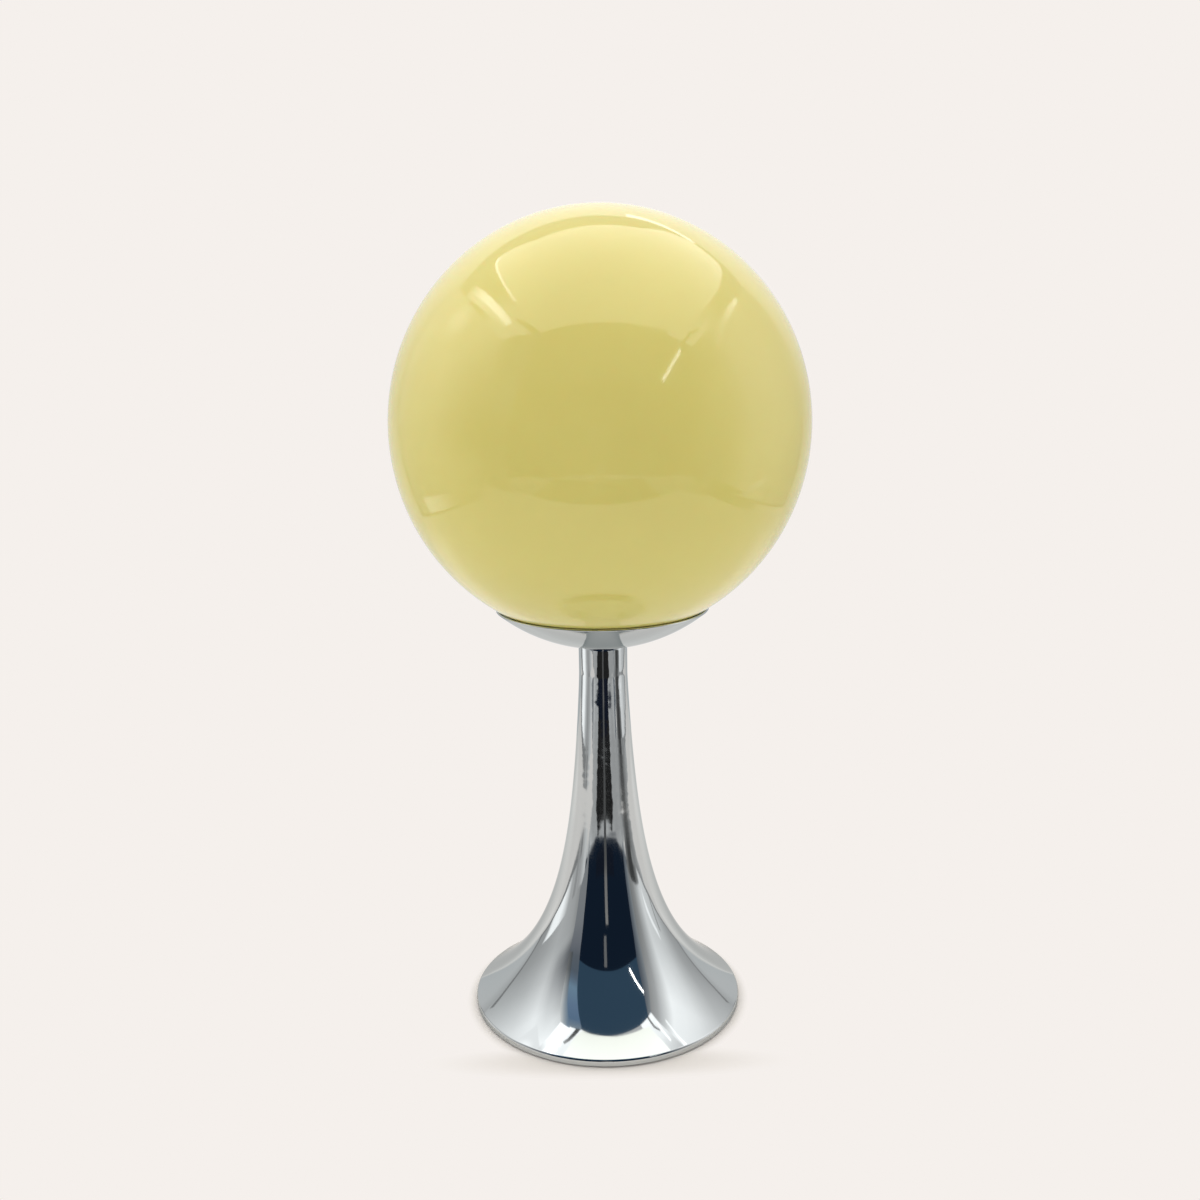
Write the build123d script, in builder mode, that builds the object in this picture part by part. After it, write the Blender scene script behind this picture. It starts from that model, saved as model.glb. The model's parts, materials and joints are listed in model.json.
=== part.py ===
from build123d import *
import os
from math import asin, cos, degrees, hypot, radians, sin, sqrt, tan

# Glass desk lamp. A hollow ball of opal glass rests in a chromed dish, over a screw lampholder and
# its bulb, and the dish stands on a spun trumpet foot that holds a cast weight. Millimetres, +Z up,
# origin on the table under the middle of the foot, cord inlet towards +Y.

# Trumpet: foot, flare and neck, spun from one sheet
FOOT_RADIUS = 72.0
FOOT_GAP = 0.8
RIM_HEIGHT = 3.2
RIM_EDGE = 0.45
STEM_HEIGHT = 199.5
STEM_WALL = 1.2
STEM_EDGE = 0.9
NECK_RADIUS = 12.3
NECK_LENGTH = 15.0
FLARE_ANGLE = 34.0
FLARE_PULL = 61.4
WAIST_HEIGHT = 83.9
WAIST_SWELL = 5.5
NECK_EASE = 7.0

# Inside of the foot
FELT_THICKNESS = 2.0
FELT_MARGIN = 4.0
FELT_EDGE = 0.6
PLATE_THICKNESS = 1.5
PLATE_CLEARANCE = 0.3
BALLAST_HEIGHT = 20.0
BALLAST_CLEARANCE = 0.4
BALLAST_EDGE = 2.0
PLATE_SCREWS = 3
PLATE_SCREW_CIRCLE = 48.0
PLATE_SCREW_RADIUS = 1.5
PLATE_SCREW_HEAD = 3.0
PLATE_SCREW_LENGTH = 7.0
SCREW_CLEARANCE = 0.1
SLOT_WIDTH = 0.8
SLOT_DEPTH = 0.6

# Cord inlet
CORD_BORE = 3.0
BUSHING_WALL = 1.2
BUSHING_EDGE = 0.6
BUSHING_TAIL = 3.0
BUSHING_INSET = 2.0
BUSHING_LIFT = 1.2
BUSHING_CLEARANCE = 0.2
COLLAR_HEIGHT = 1.6
COLLAR_THICKNESS = 2.0

# Terminal block and the two leads that climb the tube
POLE_SPACING = 8.0
POLE_RADIUS = 3.6
POLE_BORE = 1.7
BLOCK_LENGTH = 19.0
BLOCK_HEIGHT = 10.5
BLOCK_START = 15.0
BLOCK_WALL = 1.2
BLOCK_EDGE = 0.8
TERMINAL_PITCH = 10.0
TERMINAL_RADIUS = 1.5
TERMINAL_RECESS = 1.0
POCKET_CLEARANCE = 0.5
POCKET_TAIL = 8.0
LEAD_RADIUS = 1.1
LEAD_SPACING = 3.4
LEAD_ENTRY = 4.0
LEAD_BEND = 5.0
LEAD_RISE = 3.5
LEAD_SWEEP = 7.5

# Central tube, its nuts and the plug that centres it in the neck
TUBE_RADIUS = 5.0
TUBE_WALL = 1.1
THREAD_CLEARANCE = 0.05
NUT_FLATS = 14.0
NUT_HEIGHT = 4.0
WASHER_RADIUS = 9.0
WASHER_THICKNESS = 1.2
PLUG_LENGTH = 14.0
PLUG_CLEARANCE = 0.05
PLUG_EDGE = 0.6

# Dish, rubber ring and leaf spring that hold the glass
CUP_RADIUS = 53.4
CUP_DEPTH = 18.5
CUP_FLAT = 13.0
CUP_WALL = 1.2
CUP_EDGE = 0.5
SEAT_RADIUS = 44.0
SEAT_WIDTH = 5.0
SEAT_THICKNESS = 1.3
SEAT_BED = 0.1
SEAT_CLEARANCE = 0.3
SPRING_ARMS = 3
SPRING_SHEET = 0.6
SPRING_WIDTH = 10.0
SPRING_HUB = 11.0
SPRING_LIFT = 2.0
SPRING_GRIP = 8.0
SPRING_CURL = 3.0
SPRING_BEND = 2.5
SPRING_CLEARANCE = 0.3

# Glass ball
GLOBE_RADIUS = 100.0
GLOBE_WALL = 2.4
MOUTH_RADIUS = 38.0

# Lampholder with a 27 mm screw
BOSS_RADIUS = 9.0
BOSS_HEIGHT = 5.0
BOSS_DEPTH = 9.0
DOME_RADIUS = 9.5
CAP_HEIGHT = 20.0
CAP_WALL = 2.4
SPIGOT_STEP = 1.5
SPIGOT_HEIGHT = 4.0
GRUB_RADIUS = 1.5
INSERT_THICKNESS = 8.0
HOLDER_CLEARANCE = 0.2
BODY_WALL = 2.6
BODY_HEIGHT = 38.0
BODY_EDGE = 1.0
SHELL_CLEARANCE = 0.4
SHELL_WALL = 0.5
SHELL_RECESS = 2.0
CONTACT_SHEET = 0.5
CONTACT_WIDTH = 6.0
CONTACT_REACH = 10.0
CONTACT_HEIGHT = 3.0
CONTACT_BEND = 2.0
WIRE_PITCH = 18.0
WIRE_SCREW_RADIUS = 1.5
WIRE_SCREW_HEAD = 2.3
WIRE_SCREW_HEAD_HEIGHT = 1.5
WIRE_SCREW_LENGTH = 5.0
WIRE_SCREW_OFFSET = 5.5

# Bulb
BULB_GAP = 0.3
BULB_LENGTH = 105.0
BULB_RADIUS = 30.0
BULB_WALL = 0.8
BULB_WAIST = 25.0
BULB_FIT = 0.1
BUTTON_RADIUS = 4.7
BUTTON_HEIGHT = 1.6
BUTTON_EDGE = 1.0
INSULATOR_HEIGHT = 4.0
BULB_CAP_RADIUS = 13.0
BULB_CAP_FOOT = 10.5
BULB_CAP_TAPER = 2.5
BULB_CAP_WALL = 0.5
BULB_CAP_HEIGHT = 22.0
BULB_NECK_DEPTH = 6.0
MOUNT_FLARE = 10.0
MOUNT_RADIUS = 3.5
MOUNT_RISE = 38.0
WIRE_RADIUS = 0.4
WIRE_SPREAD = 3.0
WIRE_RISE = 4.0
FILAMENT_SPAN = 18.0
FILAMENT_RISE = 16.0
FILAMENT_BEND = 2.0

# Radii and heights worked out from the sizes, from the table upwards
rim_top = FOOT_GAP + RIM_HEIGHT
rim_bore = FOOT_RADIUS - STEM_WALL
neck_bottom = STEM_HEIGHT - NECK_LENGTH
flare_tilt = radians(FLARE_ANGLE)
neck_bore = NECK_RADIUS - STEM_WALL
plate_top = FELT_THICKNESS + PLATE_THICKNESS
ballast_top = plate_top + BALLAST_HEIGHT
block_top = plate_top + BLOCK_HEIGHT
pocket_top = block_top + POCKET_CLEARANCE
pole_height = plate_top + BLOCK_WALL + POLE_BORE
bushing_radius = CORD_BORE + BUSHING_WALL
collar_radius = bushing_radius + COLLAR_HEIGHT
inlet_height = plate_top + bushing_radius + BUSHING_LIFT
cup_floor = STEM_HEIGHT + CUP_WALL
washer_bottom = cup_floor + SPRING_SHEET
cup_nut_bottom = washer_bottom + WASHER_THICKNESS
holder_bottom = cup_nut_bottom + NUT_HEIGHT
tube_hole = TUBE_RADIUS + THREAD_CLEARANCE
tube_top = holder_bottom + BOSS_DEPTH
dome_centre = holder_bottom + BOSS_HEIGHT + DOME_RADIUS
cap_radius = BOSS_RADIUS + DOME_RADIUS
cap_bore = cap_radius - CAP_WALL
cap_top = holder_bottom + CAP_HEIGHT
spigot_radius = cap_radius - SPIGOT_STEP
spigot_top = cap_top + SPIGOT_HEIGHT
insert_top = spigot_top + INSERT_THICKNESS
body_bore = spigot_radius + HOLDER_CLEARANCE
body_radius = body_bore + BODY_WALL
body_top = cap_top + BODY_HEIGHT
shell_radius = BULB_CAP_RADIUS + SHELL_CLEARANCE
shell_outside = shell_radius + SHELL_WALL
bulb_bottom = insert_top + CONTACT_HEIGHT + BULB_GAP
insulator_bottom = bulb_bottom + BUTTON_HEIGHT
bulb_cap_bottom = insulator_bottom + INSULATOR_HEIGHT
bulb_cap_top = bulb_cap_bottom + BULB_CAP_HEIGHT
bulb_cap_bore = BULB_CAP_RADIUS - BULB_CAP_WALL
bulb_neck = bulb_cap_bore - BULB_FIT
bulb_neck_bottom = bulb_cap_top - BULB_NECK_DEPTH
bulb_centre = bulb_bottom + BULB_LENGTH - BULB_RADIUS
mount_top = bulb_neck_bottom + MOUNT_RISE

# Dish: a sphere about the axis, through the edge of its flat floor and through its rim
cup_centre = STEM_HEIGHT + (CUP_RADIUS**2 + CUP_DEPTH**2 - CUP_FLAT**2) / (2 * CUP_DEPTH)
cup_outer = hypot(CUP_FLAT, cup_centre - STEM_HEIGHT)
cup_inner = cup_outer - CUP_WALL
seat_outer = cup_inner - SEAT_BED
seat_inner = seat_outer - SEAT_THICKNESS

# Ball: the upper edge of the rubber ring carries it, and its cut lip is half round
seat_edge_radius = SEAT_RADIUS * seat_inner / seat_outer
seat_edge_height = cup_centre - sqrt(seat_inner**2 - seat_edge_radius**2)
globe_centre = seat_edge_height + sqrt((GLOBE_RADIUS + SEAT_CLEARANCE) ** 2 - seat_edge_radius**2)
globe_inner = GLOBE_RADIUS - GLOBE_WALL
lip_radius = GLOBE_WALL / 2
lip_circle = GLOBE_RADIUS - lip_radius
mouth_angle = asin((MOUTH_RADIUS + lip_radius) / lip_circle)
lip_bottom = globe_centre - lip_circle * cos(mouth_angle) - lip_radius

# Placing of screws and turned pieces, and steps of a search along the flare
UPWARDS = (Align.CENTER, Align.CENTER, Align.MIN)
HANGING = (Align.CENTER, Align.CENTER, Align.MAX)
HALVINGS = 30


def flare_curve(inset):
    """Flare of the trumpet at an inset: it leaves the rim at its angle and ends upright in the neck."""
    start = rim_top + inset * ((1 - sin(flare_tilt)) * tan(flare_tilt) - cos(flare_tilt))
    return Bezier(
        (FOOT_RADIUS - inset, start),
        (FOOT_RADIUS - inset - FLARE_PULL * cos(flare_tilt), start + FLARE_PULL * sin(flare_tilt)),
        (NECK_RADIUS - inset + WAIST_SWELL, WAIST_HEIGHT),
        (NECK_RADIUS - inset, neck_bottom - NECK_EASE),
        (NECK_RADIUS - inset, neck_bottom),
    )


def flare_radius(height):
    """Radius of the trumpet's outer face at a height, by halving the curve until it is there."""
    flare = flare_curve(0)
    low, high = 0.0, 1.0
    for _ in range(HALVINGS):
        middle = (low + high) / 2
        if (flare @ middle).Y < height:
            low = middle
        else:
            high = middle
    return (flare @ low).X


def foot_section(clearance):
    """Half section of the space inside the trumpet, with a clearance to its sheet."""
    with BuildSketch(Plane.XZ) as section:
        with BuildLine():
            side = flare_curve(STEM_WALL + clearance)
            Polyline(side @ 1, (0, neck_bottom), (0, FOOT_GAP), ((side @ 0).X, FOOT_GAP), side @ 0)
        make_face()
    return section.sketch


def below(centre, radius, distance):
    """Point on the lower half of a circle about (0, centre), at a distance from the axis."""
    return (distance, centre - sqrt(radius**2 - distance**2))


def dish_arc(centre, radius, start, end):
    """Arc on the lower half of a circle about (0, centre), between two distances from the axis."""
    middle = (start + end) / 2
    return ThreePointArc(*(below(centre, radius, distance) for distance in (start, middle, end)))


def around_mouth(distance, along):
    """Point near the ball's mouth: a distance from the ball's centre, then along the cut."""
    radius = distance * sin(mouth_angle) - along * cos(mouth_angle)
    height = globe_centre - distance * cos(mouth_angle) - along * sin(mouth_angle)
    return (radius, height)


def upright_plane(angle):
    """Plane through the axis at an angle from +X, with its own x outwards and its own y upwards."""
    outwards = Vector(1, 0, 0).rotate(Axis.Z, angle)
    return Plane(origin=(0, 0, 0), x_dir=outwards, z_dir=outwards.rotate(Axis.Z, -90))


def inlet_plane(distance):
    """Plane across the cord inlet, facing backwards, at a distance from the axis."""
    return Plane(origin=(0, distance, inlet_height), x_dir=(1, 0, 0), z_dir=(0, 1, 0))


# Felt under the foot
with BuildPart() as felt_pad:
    with BuildSketch():
        Circle(rim_bore - FELT_MARGIN)
    extrude(amount=FELT_THICKNESS)
    fillet(felt_pad.edges().group_by(Axis.Z)[0], FELT_EDGE)

# Steel plate that closes the foot, with countersunk screws into the weight
underside = Plane(origin=(0, 0, FELT_THICKNESS), x_dir=(1, 0, 0), z_dir=(0, 0, -1))
screw_hole = PLATE_SCREW_RADIUS + SCREW_CLEARANCE
screw_sink = PLATE_SCREW_HEAD + SCREW_CLEARANCE
screw_head_height = PLATE_SCREW_HEAD - PLATE_SCREW_RADIUS
plate_section = foot_section(PLATE_CLEARANCE)
with BuildPart() as bottom_plate:
    revolve(plate_section, axis=Axis.Z)
    split(bisect_by=Plane.XY.offset(FELT_THICKNESS), keep=Keep.TOP)
    split(bisect_by=Plane.XY.offset(plate_top), keep=Keep.BOTTOM)
    with Locations(underside):
        with PolarLocations(PLATE_SCREW_CIRCLE, PLATE_SCREWS, start_angle=90):
            CounterSinkHole(screw_hole, screw_sink, counter_sink_angle=90)

with BuildPart() as bottom_plate_screws:
    with Locations(underside):
        with PolarLocations(PLATE_SCREW_CIRCLE, PLATE_SCREWS, start_angle=90):
            Cylinder(PLATE_SCREW_RADIUS, PLATE_SCREW_LENGTH, align=HANGING)
            Cone(PLATE_SCREW_RADIUS, PLATE_SCREW_HEAD, screw_head_height, align=HANGING)
            Box(2 * PLATE_SCREW_HEAD, SLOT_WIDTH, SLOT_DEPTH, align=HANGING, mode=Mode.SUBTRACT)

# Cast weight: fills the flare, with a pocket underneath for the terminal block and the cord
block_middle = BLOCK_START + BLOCK_LENGTH / 2
block_width = POLE_SPACING + 2 * POLE_RADIUS
pocket_front = -TUBE_RADIUS - POCKET_CLEARANCE
pocket_back = BLOCK_START + BLOCK_LENGTH + POCKET_TAIL
ballast_section = foot_section(BALLAST_CLEARANCE)
with BuildPart() as ballast:
    revolve(ballast_section, axis=Axis.Z)
    split(bisect_by=Plane.XY.offset(plate_top), keep=Keep.TOP)
    split(bisect_by=Plane.XY.offset(ballast_top), keep=Keep.BOTTOM)
    fillet(ballast.edges().group_by(Axis.Z)[-1], BALLAST_EDGE)
    with BuildSketch(Plane.XY.offset(plate_top)):
        with Locations((0, pocket_front)):
            Rectangle(
                block_width + 2 * POCKET_CLEARANCE,
                pocket_back - pocket_front,
                align=(Align.CENTER, Align.MIN),
            )
    extrude(amount=pocket_top - plate_top, mode=Mode.SUBTRACT)
    with BuildSketch(Plane.XY.offset(plate_top)):
        with Locations((0, block_middle)):
            Rectangle(
                2 * (collar_radius + BUSHING_CLEARANCE),
                FOOT_RADIUS,
                align=(Align.CENTER, Align.MIN),
            )
    extrude(amount=inlet_height + collar_radius + BUSHING_CLEARANCE - plate_top, mode=Mode.SUBTRACT)
    with Locations((0, 0, ballast_top)):
        Hole(tube_hole)
    with Locations(underside):
        with PolarLocations(PLATE_SCREW_CIRCLE, PLATE_SCREWS, start_angle=90):
            CounterSinkHole(screw_hole, screw_sink, PLATE_SCREW_LENGTH + SCREW_CLEARANCE, 90)

# Terminal block: two poles side by side, a wire bore through each and a screw tower over each end
terminal_hole = TERMINAL_RADIUS + SCREW_CLEARANCE
with BuildPart() as terminal_block:
    with BuildSketch(Plane.XY.offset(plate_top)):
        with Locations((0, block_middle)):
            RectangleRounded(block_width, BLOCK_LENGTH, BLOCK_EDGE)
    extrude(amount=2 * (BLOCK_WALL + POLE_BORE))
    with BuildSketch(Plane.XY.offset(pole_height)):
        with Locations((0, block_middle)):
            with GridLocations(POLE_SPACING, TERMINAL_PITCH, 2, 2):
                Circle(terminal_hole + BLOCK_WALL)
    extrude(amount=block_top - pole_height)
    with BuildSketch(Plane(origin=(0, BLOCK_START, pole_height), x_dir=(1, 0, 0), z_dir=(0, 1, 0))):
        with GridLocations(POLE_SPACING, 0, 2, 1):
            Circle(POLE_BORE)
    extrude(amount=BLOCK_LENGTH, mode=Mode.SUBTRACT)
    with Locations((0, block_middle, block_top)):
        with GridLocations(POLE_SPACING, TERMINAL_PITCH, 2, 2):
            Hole(terminal_hole, block_top - pole_height)

terminal_screw_top = block_top - TERMINAL_RECESS
terminal_screw_bottom = pole_height + LEAD_RADIUS + SCREW_CLEARANCE
with BuildPart() as terminal_screws:
    with Locations((0, block_middle, terminal_screw_top)):
        with GridLocations(POLE_SPACING, TERMINAL_PITCH, 2, 2):
            Cylinder(TERMINAL_RADIUS, terminal_screw_top - terminal_screw_bottom, align=HANGING)
            Box(2 * TERMINAL_RADIUS, SLOT_WIDTH, SLOT_DEPTH, align=HANGING, mode=Mode.SUBTRACT)

# Cord bushing: a flanged sleeve with a flat foot, held between the weight and the plate
bushing_end = FOOT_RADIUS - BUSHING_INSET
collar_face = flare_radius(inlet_height + collar_radius) - 2 * STEM_WALL - BUSHING_CLEARANCE
bushing_start = collar_face - COLLAR_THICKNESS - BUSHING_TAIL
with BuildPart() as cord_bushing:
    with BuildSketch(inlet_plane(bushing_start)):
        Circle(bushing_radius)
    extrude(amount=bushing_end - bushing_start)
    fillet(cord_bushing.edges().group_by(Axis.Y)[-1], BUSHING_EDGE)
    with BuildSketch(inlet_plane(collar_face)):
        Circle(collar_radius)
    extrude(amount=-COLLAR_THICKNESS)
    with Locations(inlet_plane(bushing_end)):
        Hole(CORD_BORE)
    split(bisect_by=Plane.XY.offset(plate_top), keep=Keep.TOP)

# Trumpet: one sheet from the turned-down rim to the top of the neck, holed for the bushing
with BuildPart() as trumpet_stem:
    with BuildSketch(Plane.XZ):
        with BuildLine():
            outside = flare_curve(0)
            inside = flare_curve(STEM_WALL)
            Polyline(outside @ 1, (NECK_RADIUS, STEM_HEIGHT), (neck_bore, STEM_HEIGHT), inside @ 1)
            Polyline(outside @ 0, (FOOT_RADIUS, FOOT_GAP), (rim_bore, FOOT_GAP), inside @ 0)
        make_face()
    revolve(axis=Axis.Z)
    rings = trumpet_stem.edges().filter_by(GeomType.CIRCLE)
    fillet(rings.group_by(Axis.Z)[-1].sort_by(SortBy.RADIUS)[-1], STEM_EDGE)
    rings = trumpet_stem.edges().filter_by(GeomType.CIRCLE)
    fillet(rings.filter_by(lambda ring: abs(ring.radius - FOOT_RADIUS) < RIM_EDGE), RIM_EDGE)
    with BuildSketch(inlet_plane(FOOT_RADIUS)):
        Circle(bushing_radius + BUSHING_CLEARANCE)
    extrude(amount=bushing_start - FOOT_RADIUS, mode=Mode.SUBTRACT)

# Plug in the top of the neck, which centres the tube and carries the dish
with BuildPart() as neck_plug:
    with BuildSketch(Plane.XY.offset(STEM_HEIGHT)):
        Circle(neck_bore - PLUG_CLEARANCE)
        Circle(tube_hole, mode=Mode.SUBTRACT)
    extrude(amount=-PLUG_LENGTH)
    chamfer(neck_plug.edges().group_by(Axis.Z)[0], PLUG_EDGE)

# Threaded tube from the weight to the lampholder
with BuildPart() as threaded_tube:
    with BuildSketch(Plane.XY.offset(pocket_top)):
        Circle(TUBE_RADIUS)
        Circle(TUBE_RADIUS - TUBE_WALL, mode=Mode.SUBTRACT)
    extrude(amount=tube_top - pocket_top)

# Nut that locks the tube to the weight
with BuildPart() as tube_locknut:
    with BuildSketch(Plane.XY.offset(ballast_top)):
        RegularPolygon(NUT_FLATS / 2, 6, major_radius=False)
        Circle(tube_hole, mode=Mode.SUBTRACT)
    extrude(amount=NUT_HEIGHT)

# Nut that clamps the dish and the leaf spring on the neck
with BuildPart() as cup_nut:
    with BuildSketch(Plane.XY.offset(cup_nut_bottom)):
        RegularPolygon(NUT_FLATS / 2, 6, major_radius=False)
        Circle(tube_hole, mode=Mode.SUBTRACT)
    extrude(amount=NUT_HEIGHT)

with BuildPart() as cup_washer:
    with BuildSketch(Plane.XY.offset(washer_bottom)):
        Circle(WASHER_RADIUS)
        Circle(tube_hole, mode=Mode.SUBTRACT)
    extrude(amount=WASHER_THICKNESS)

# Dish under the ball, with its rim just clear of the glass
cup_inner_flat = sqrt(cup_inner**2 - (cup_centre - cup_floor) ** 2)
cup_inner_rim = CUP_RADIUS * cup_inner / cup_outer
with BuildPart() as globe_cup:
    with BuildSketch(Plane.XZ) as cup_section:
        with BuildLine():
            bowl = dish_arc(cup_centre, cup_outer, CUP_FLAT, CUP_RADIUS)
            lining = dish_arc(cup_centre, cup_inner, cup_inner_flat, cup_inner_rim)
            Line(bowl @ 1, lining @ 1)
            Polyline(bowl @ 0, (tube_hole, STEM_HEIGHT), (tube_hole, cup_floor), lining @ 0)
        make_face()
        fillet(cup_section.vertices().sort_by(Axis.X)[-2:], CUP_EDGE)
    revolve(axis=Axis.Z)

# Rubber ring inside the rim of the dish
seat_ring_bore = SEAT_RADIUS - SEAT_WIDTH
with BuildPart() as seat_ring:
    with BuildSketch(Plane.XZ):
        with BuildLine():
            under = dish_arc(cup_centre, seat_outer, seat_ring_bore, SEAT_RADIUS)
            over = dish_arc(
                cup_centre, seat_inner, seat_ring_bore * seat_inner / seat_outer, seat_edge_radius
            )
            Line(under @ 0, over @ 0)
            Line(under @ 1, over @ 1)
        make_face()
    revolve(axis=Axis.Z)

# Leaf spring: a hub under the nut and three fingers that stand inside the ball's mouth
finger_radius = MOUTH_RADIUS - SPRING_CLEARANCE - SPRING_SHEET / 2
finger_foot = below(cup_centre, cup_inner, finger_radius)[1] + SPRING_LIFT
finger_top = lip_bottom + SPRING_GRIP
spring_middle = cup_floor + SPRING_SHEET / 2
with BuildPart() as globe_spring:
    with BuildSketch(Plane.XY.offset(cup_floor)):
        Circle(SPRING_HUB)
        Circle(tube_hole, mode=Mode.SUBTRACT)
    extrude(amount=SPRING_SHEET)
    for arm in range(SPRING_ARMS):
        with BuildSketch(upright_plane(arm * 360 / SPRING_ARMS - 90)):
            with BuildLine():
                FilletPolyline(
                    (SPRING_HUB - SPRING_BEND, spring_middle),
                    (SPRING_HUB, spring_middle),
                    (finger_radius, finger_foot),
                    (finger_radius, finger_top - SPRING_CURL),
                    (finger_radius - SPRING_CURL, finger_top),
                    radius=SPRING_BEND,
                )
            trace(line_width=SPRING_SHEET)
        extrude(amount=SPRING_WIDTH / 2, both=True)

# Cap of the lampholder, screwed onto the tube and locked by a grub screw
dome_bore = DOME_RADIUS - CAP_WALL
floor_angle = degrees(asin((dome_centre - tube_top) / dome_bore))
grub_plane = Plane(origin=(0, 0, holder_bottom + BOSS_HEIGHT / 2), x_dir=(1, 0, 0), z_dir=(0, 1, 0))
with BuildPart() as holder_cap:
    with BuildSketch(Plane.XZ):
        with BuildLine():
            dome = CenterArc((BOSS_RADIUS, dome_centre), DOME_RADIUS, -90, 90)
            hollow = CenterArc((BOSS_RADIUS, dome_centre), dome_bore, -floor_angle, floor_angle)
            Polyline(
                dome @ 1,
                (cap_radius, cap_top),
                (spigot_radius, cap_top),
                (spigot_radius, spigot_top),
                (cap_bore, spigot_top),
                hollow @ 1,
            )
            Polyline(
                dome @ 0,
                (BOSS_RADIUS, holder_bottom),
                (tube_hole, holder_bottom),
                (tube_hole, tube_top),
                hollow @ 0,
            )
        make_face()
    revolve(axis=Axis.Z)
    with BuildSketch(grub_plane):
        Circle(GRUB_RADIUS + SCREW_CLEARANCE)
    extrude(amount=cap_radius, mode=Mode.SUBTRACT)

with BuildPart() as holder_grub_screw:
    with BuildSketch(grub_plane.offset(tube_hole)):
        Circle(GRUB_RADIUS)
    extrude(amount=BOSS_RADIUS - tube_hole)
    with Locations(grub_plane.offset(BOSS_RADIUS)):
        Box(2 * GRUB_RADIUS, SLOT_WIDTH, SLOT_DEPTH, align=HANGING, mode=Mode.SUBTRACT)

# Porcelain insert on the cap, with its wire screws underneath
with BuildPart() as holder_insert:
    with BuildSketch(Plane.XY.offset(spigot_top)):
        Circle(spigot_radius)
    extrude(amount=INSERT_THICKNESS)
    with Locations(Plane(origin=(0, WIRE_SCREW_OFFSET, spigot_top), z_dir=(0, 0, -1))):
        with GridLocations(WIRE_PITCH, 0, 2, 1):
            Hole(WIRE_SCREW_RADIUS + SCREW_CLEARANCE, WIRE_SCREW_LENGTH + SCREW_CLEARANCE)

with BuildPart() as holder_wire_screws:
    with Locations(Plane(origin=(0, WIRE_SCREW_OFFSET, spigot_top), z_dir=(0, 0, -1))):
        with GridLocations(WIRE_PITCH, 0, 2, 1):
            Cylinder(WIRE_SCREW_RADIUS, WIRE_SCREW_LENGTH, align=HANGING)
            Cylinder(WIRE_SCREW_HEAD, WIRE_SCREW_HEAD_HEIGHT, align=UPWARDS)

# Spring contact under the bulb
with BuildPart() as holder_contact:
    with BuildSketch(Plane.XZ):
        with BuildLine():
            FilletPolyline(
                (-CONTACT_REACH, insert_top + CONTACT_SHEET / 2),
                (-CONTACT_REACH / 2, insert_top + CONTACT_SHEET / 2),
                (0, insert_top + CONTACT_HEIGHT - CONTACT_SHEET / 2),
                (CONTACT_REACH / 2, insert_top + CONTACT_HEIGHT - CONTACT_SHEET / 2),
                radius=CONTACT_BEND,
            )
        trace(line_width=CONTACT_SHEET)
    extrude(amount=CONTACT_WIDTH / 2, both=True)

# Screw shell that takes the bulb
with BuildPart() as holder_screw_shell:
    with BuildSketch(Plane.XY.offset(insert_top)):
        Circle(shell_outside)
        Circle(shell_radius, mode=Mode.SUBTRACT)
    extrude(amount=body_top - SHELL_RECESS - insert_top)

# Body of the lampholder, screwed over the cap's spigot so that its step holds the insert down
with BuildPart() as holder_body:
    with BuildSketch(Plane.XZ):
        with BuildLine():
            Polyline(
                (body_bore, cap_top),
                (body_radius, cap_top),
                (body_radius, body_top),
                (shell_outside + HOLDER_CLEARANCE, body_top),
                (shell_outside + HOLDER_CLEARANCE, insert_top),
                (body_bore, insert_top),
                close=True,
            )
        make_face()
    revolve(axis=Axis.Z)
    fillet(holder_body.edges().group_by(Axis.Z)[-1].sort_by(SortBy.RADIUS)[-1], BODY_EDGE)

# Leads from the terminal block, up the tube and out to the wire screws
lead_exit = tube_top + LEAD_RISE
leads = {}
for lead_name, hand in (("live_lead", 1), ("neutral_lead", -1)):
    lead_start = Vector(hand * POLE_SPACING / 2, BLOCK_START + LEAD_ENTRY, pole_height)
    lead_turn = Vector(hand * LEAD_SPACING / 2, 0, pole_height)
    with BuildPart() as leads[lead_name]:
        with BuildLine():
            FilletPolyline(
                lead_start,
                lead_turn,
                (hand * LEAD_SPACING / 2, 0, lead_exit),
                (hand * WIRE_PITCH / 2, 0, lead_exit + LEAD_SWEEP),
                (hand * WIRE_PITCH / 2, 0, spigot_top),
                radius=LEAD_BEND,
            )
        with BuildSketch(Plane(origin=lead_start, z_dir=lead_turn - lead_start)):
            Circle(LEAD_RADIUS)
        sweep()

# Bulb: solder button, black glass insulator and screw cap
with BuildPart() as bulb_contact:
    with BuildSketch(Plane.XY.offset(bulb_bottom)):
        Circle(BUTTON_RADIUS)
    extrude(amount=BUTTON_HEIGHT)
    fillet(bulb_contact.edges().group_by(Axis.Z)[0], BUTTON_EDGE)

with BuildPart() as bulb_insulator:
    with Locations((0, 0, insulator_bottom)):
        Cone(BUTTON_RADIUS, BULB_CAP_FOOT, INSULATOR_HEIGHT, align=UPWARDS)

with BuildPart() as bulb_cap:
    with BuildSketch(Plane.XZ):
        with BuildLine():
            Polyline(
                (BULB_CAP_FOOT, bulb_cap_bottom),
                (BULB_CAP_RADIUS, bulb_cap_bottom + BULB_CAP_TAPER),
                (BULB_CAP_RADIUS, bulb_cap_top),
                (bulb_cap_bore, bulb_cap_top),
                (bulb_cap_bore, bulb_cap_bottom + BULB_CAP_TAPER),
                (BULB_CAP_FOOT - BULB_CAP_WALL, bulb_cap_bottom),
                close=True,
            )
        make_face()
    revolve(axis=Axis.Z)

# Bulb glass: a ball drawn down to a neck that is cemented in the cap
waist_angle = asin(BULB_WAIST / BULB_RADIUS)


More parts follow.
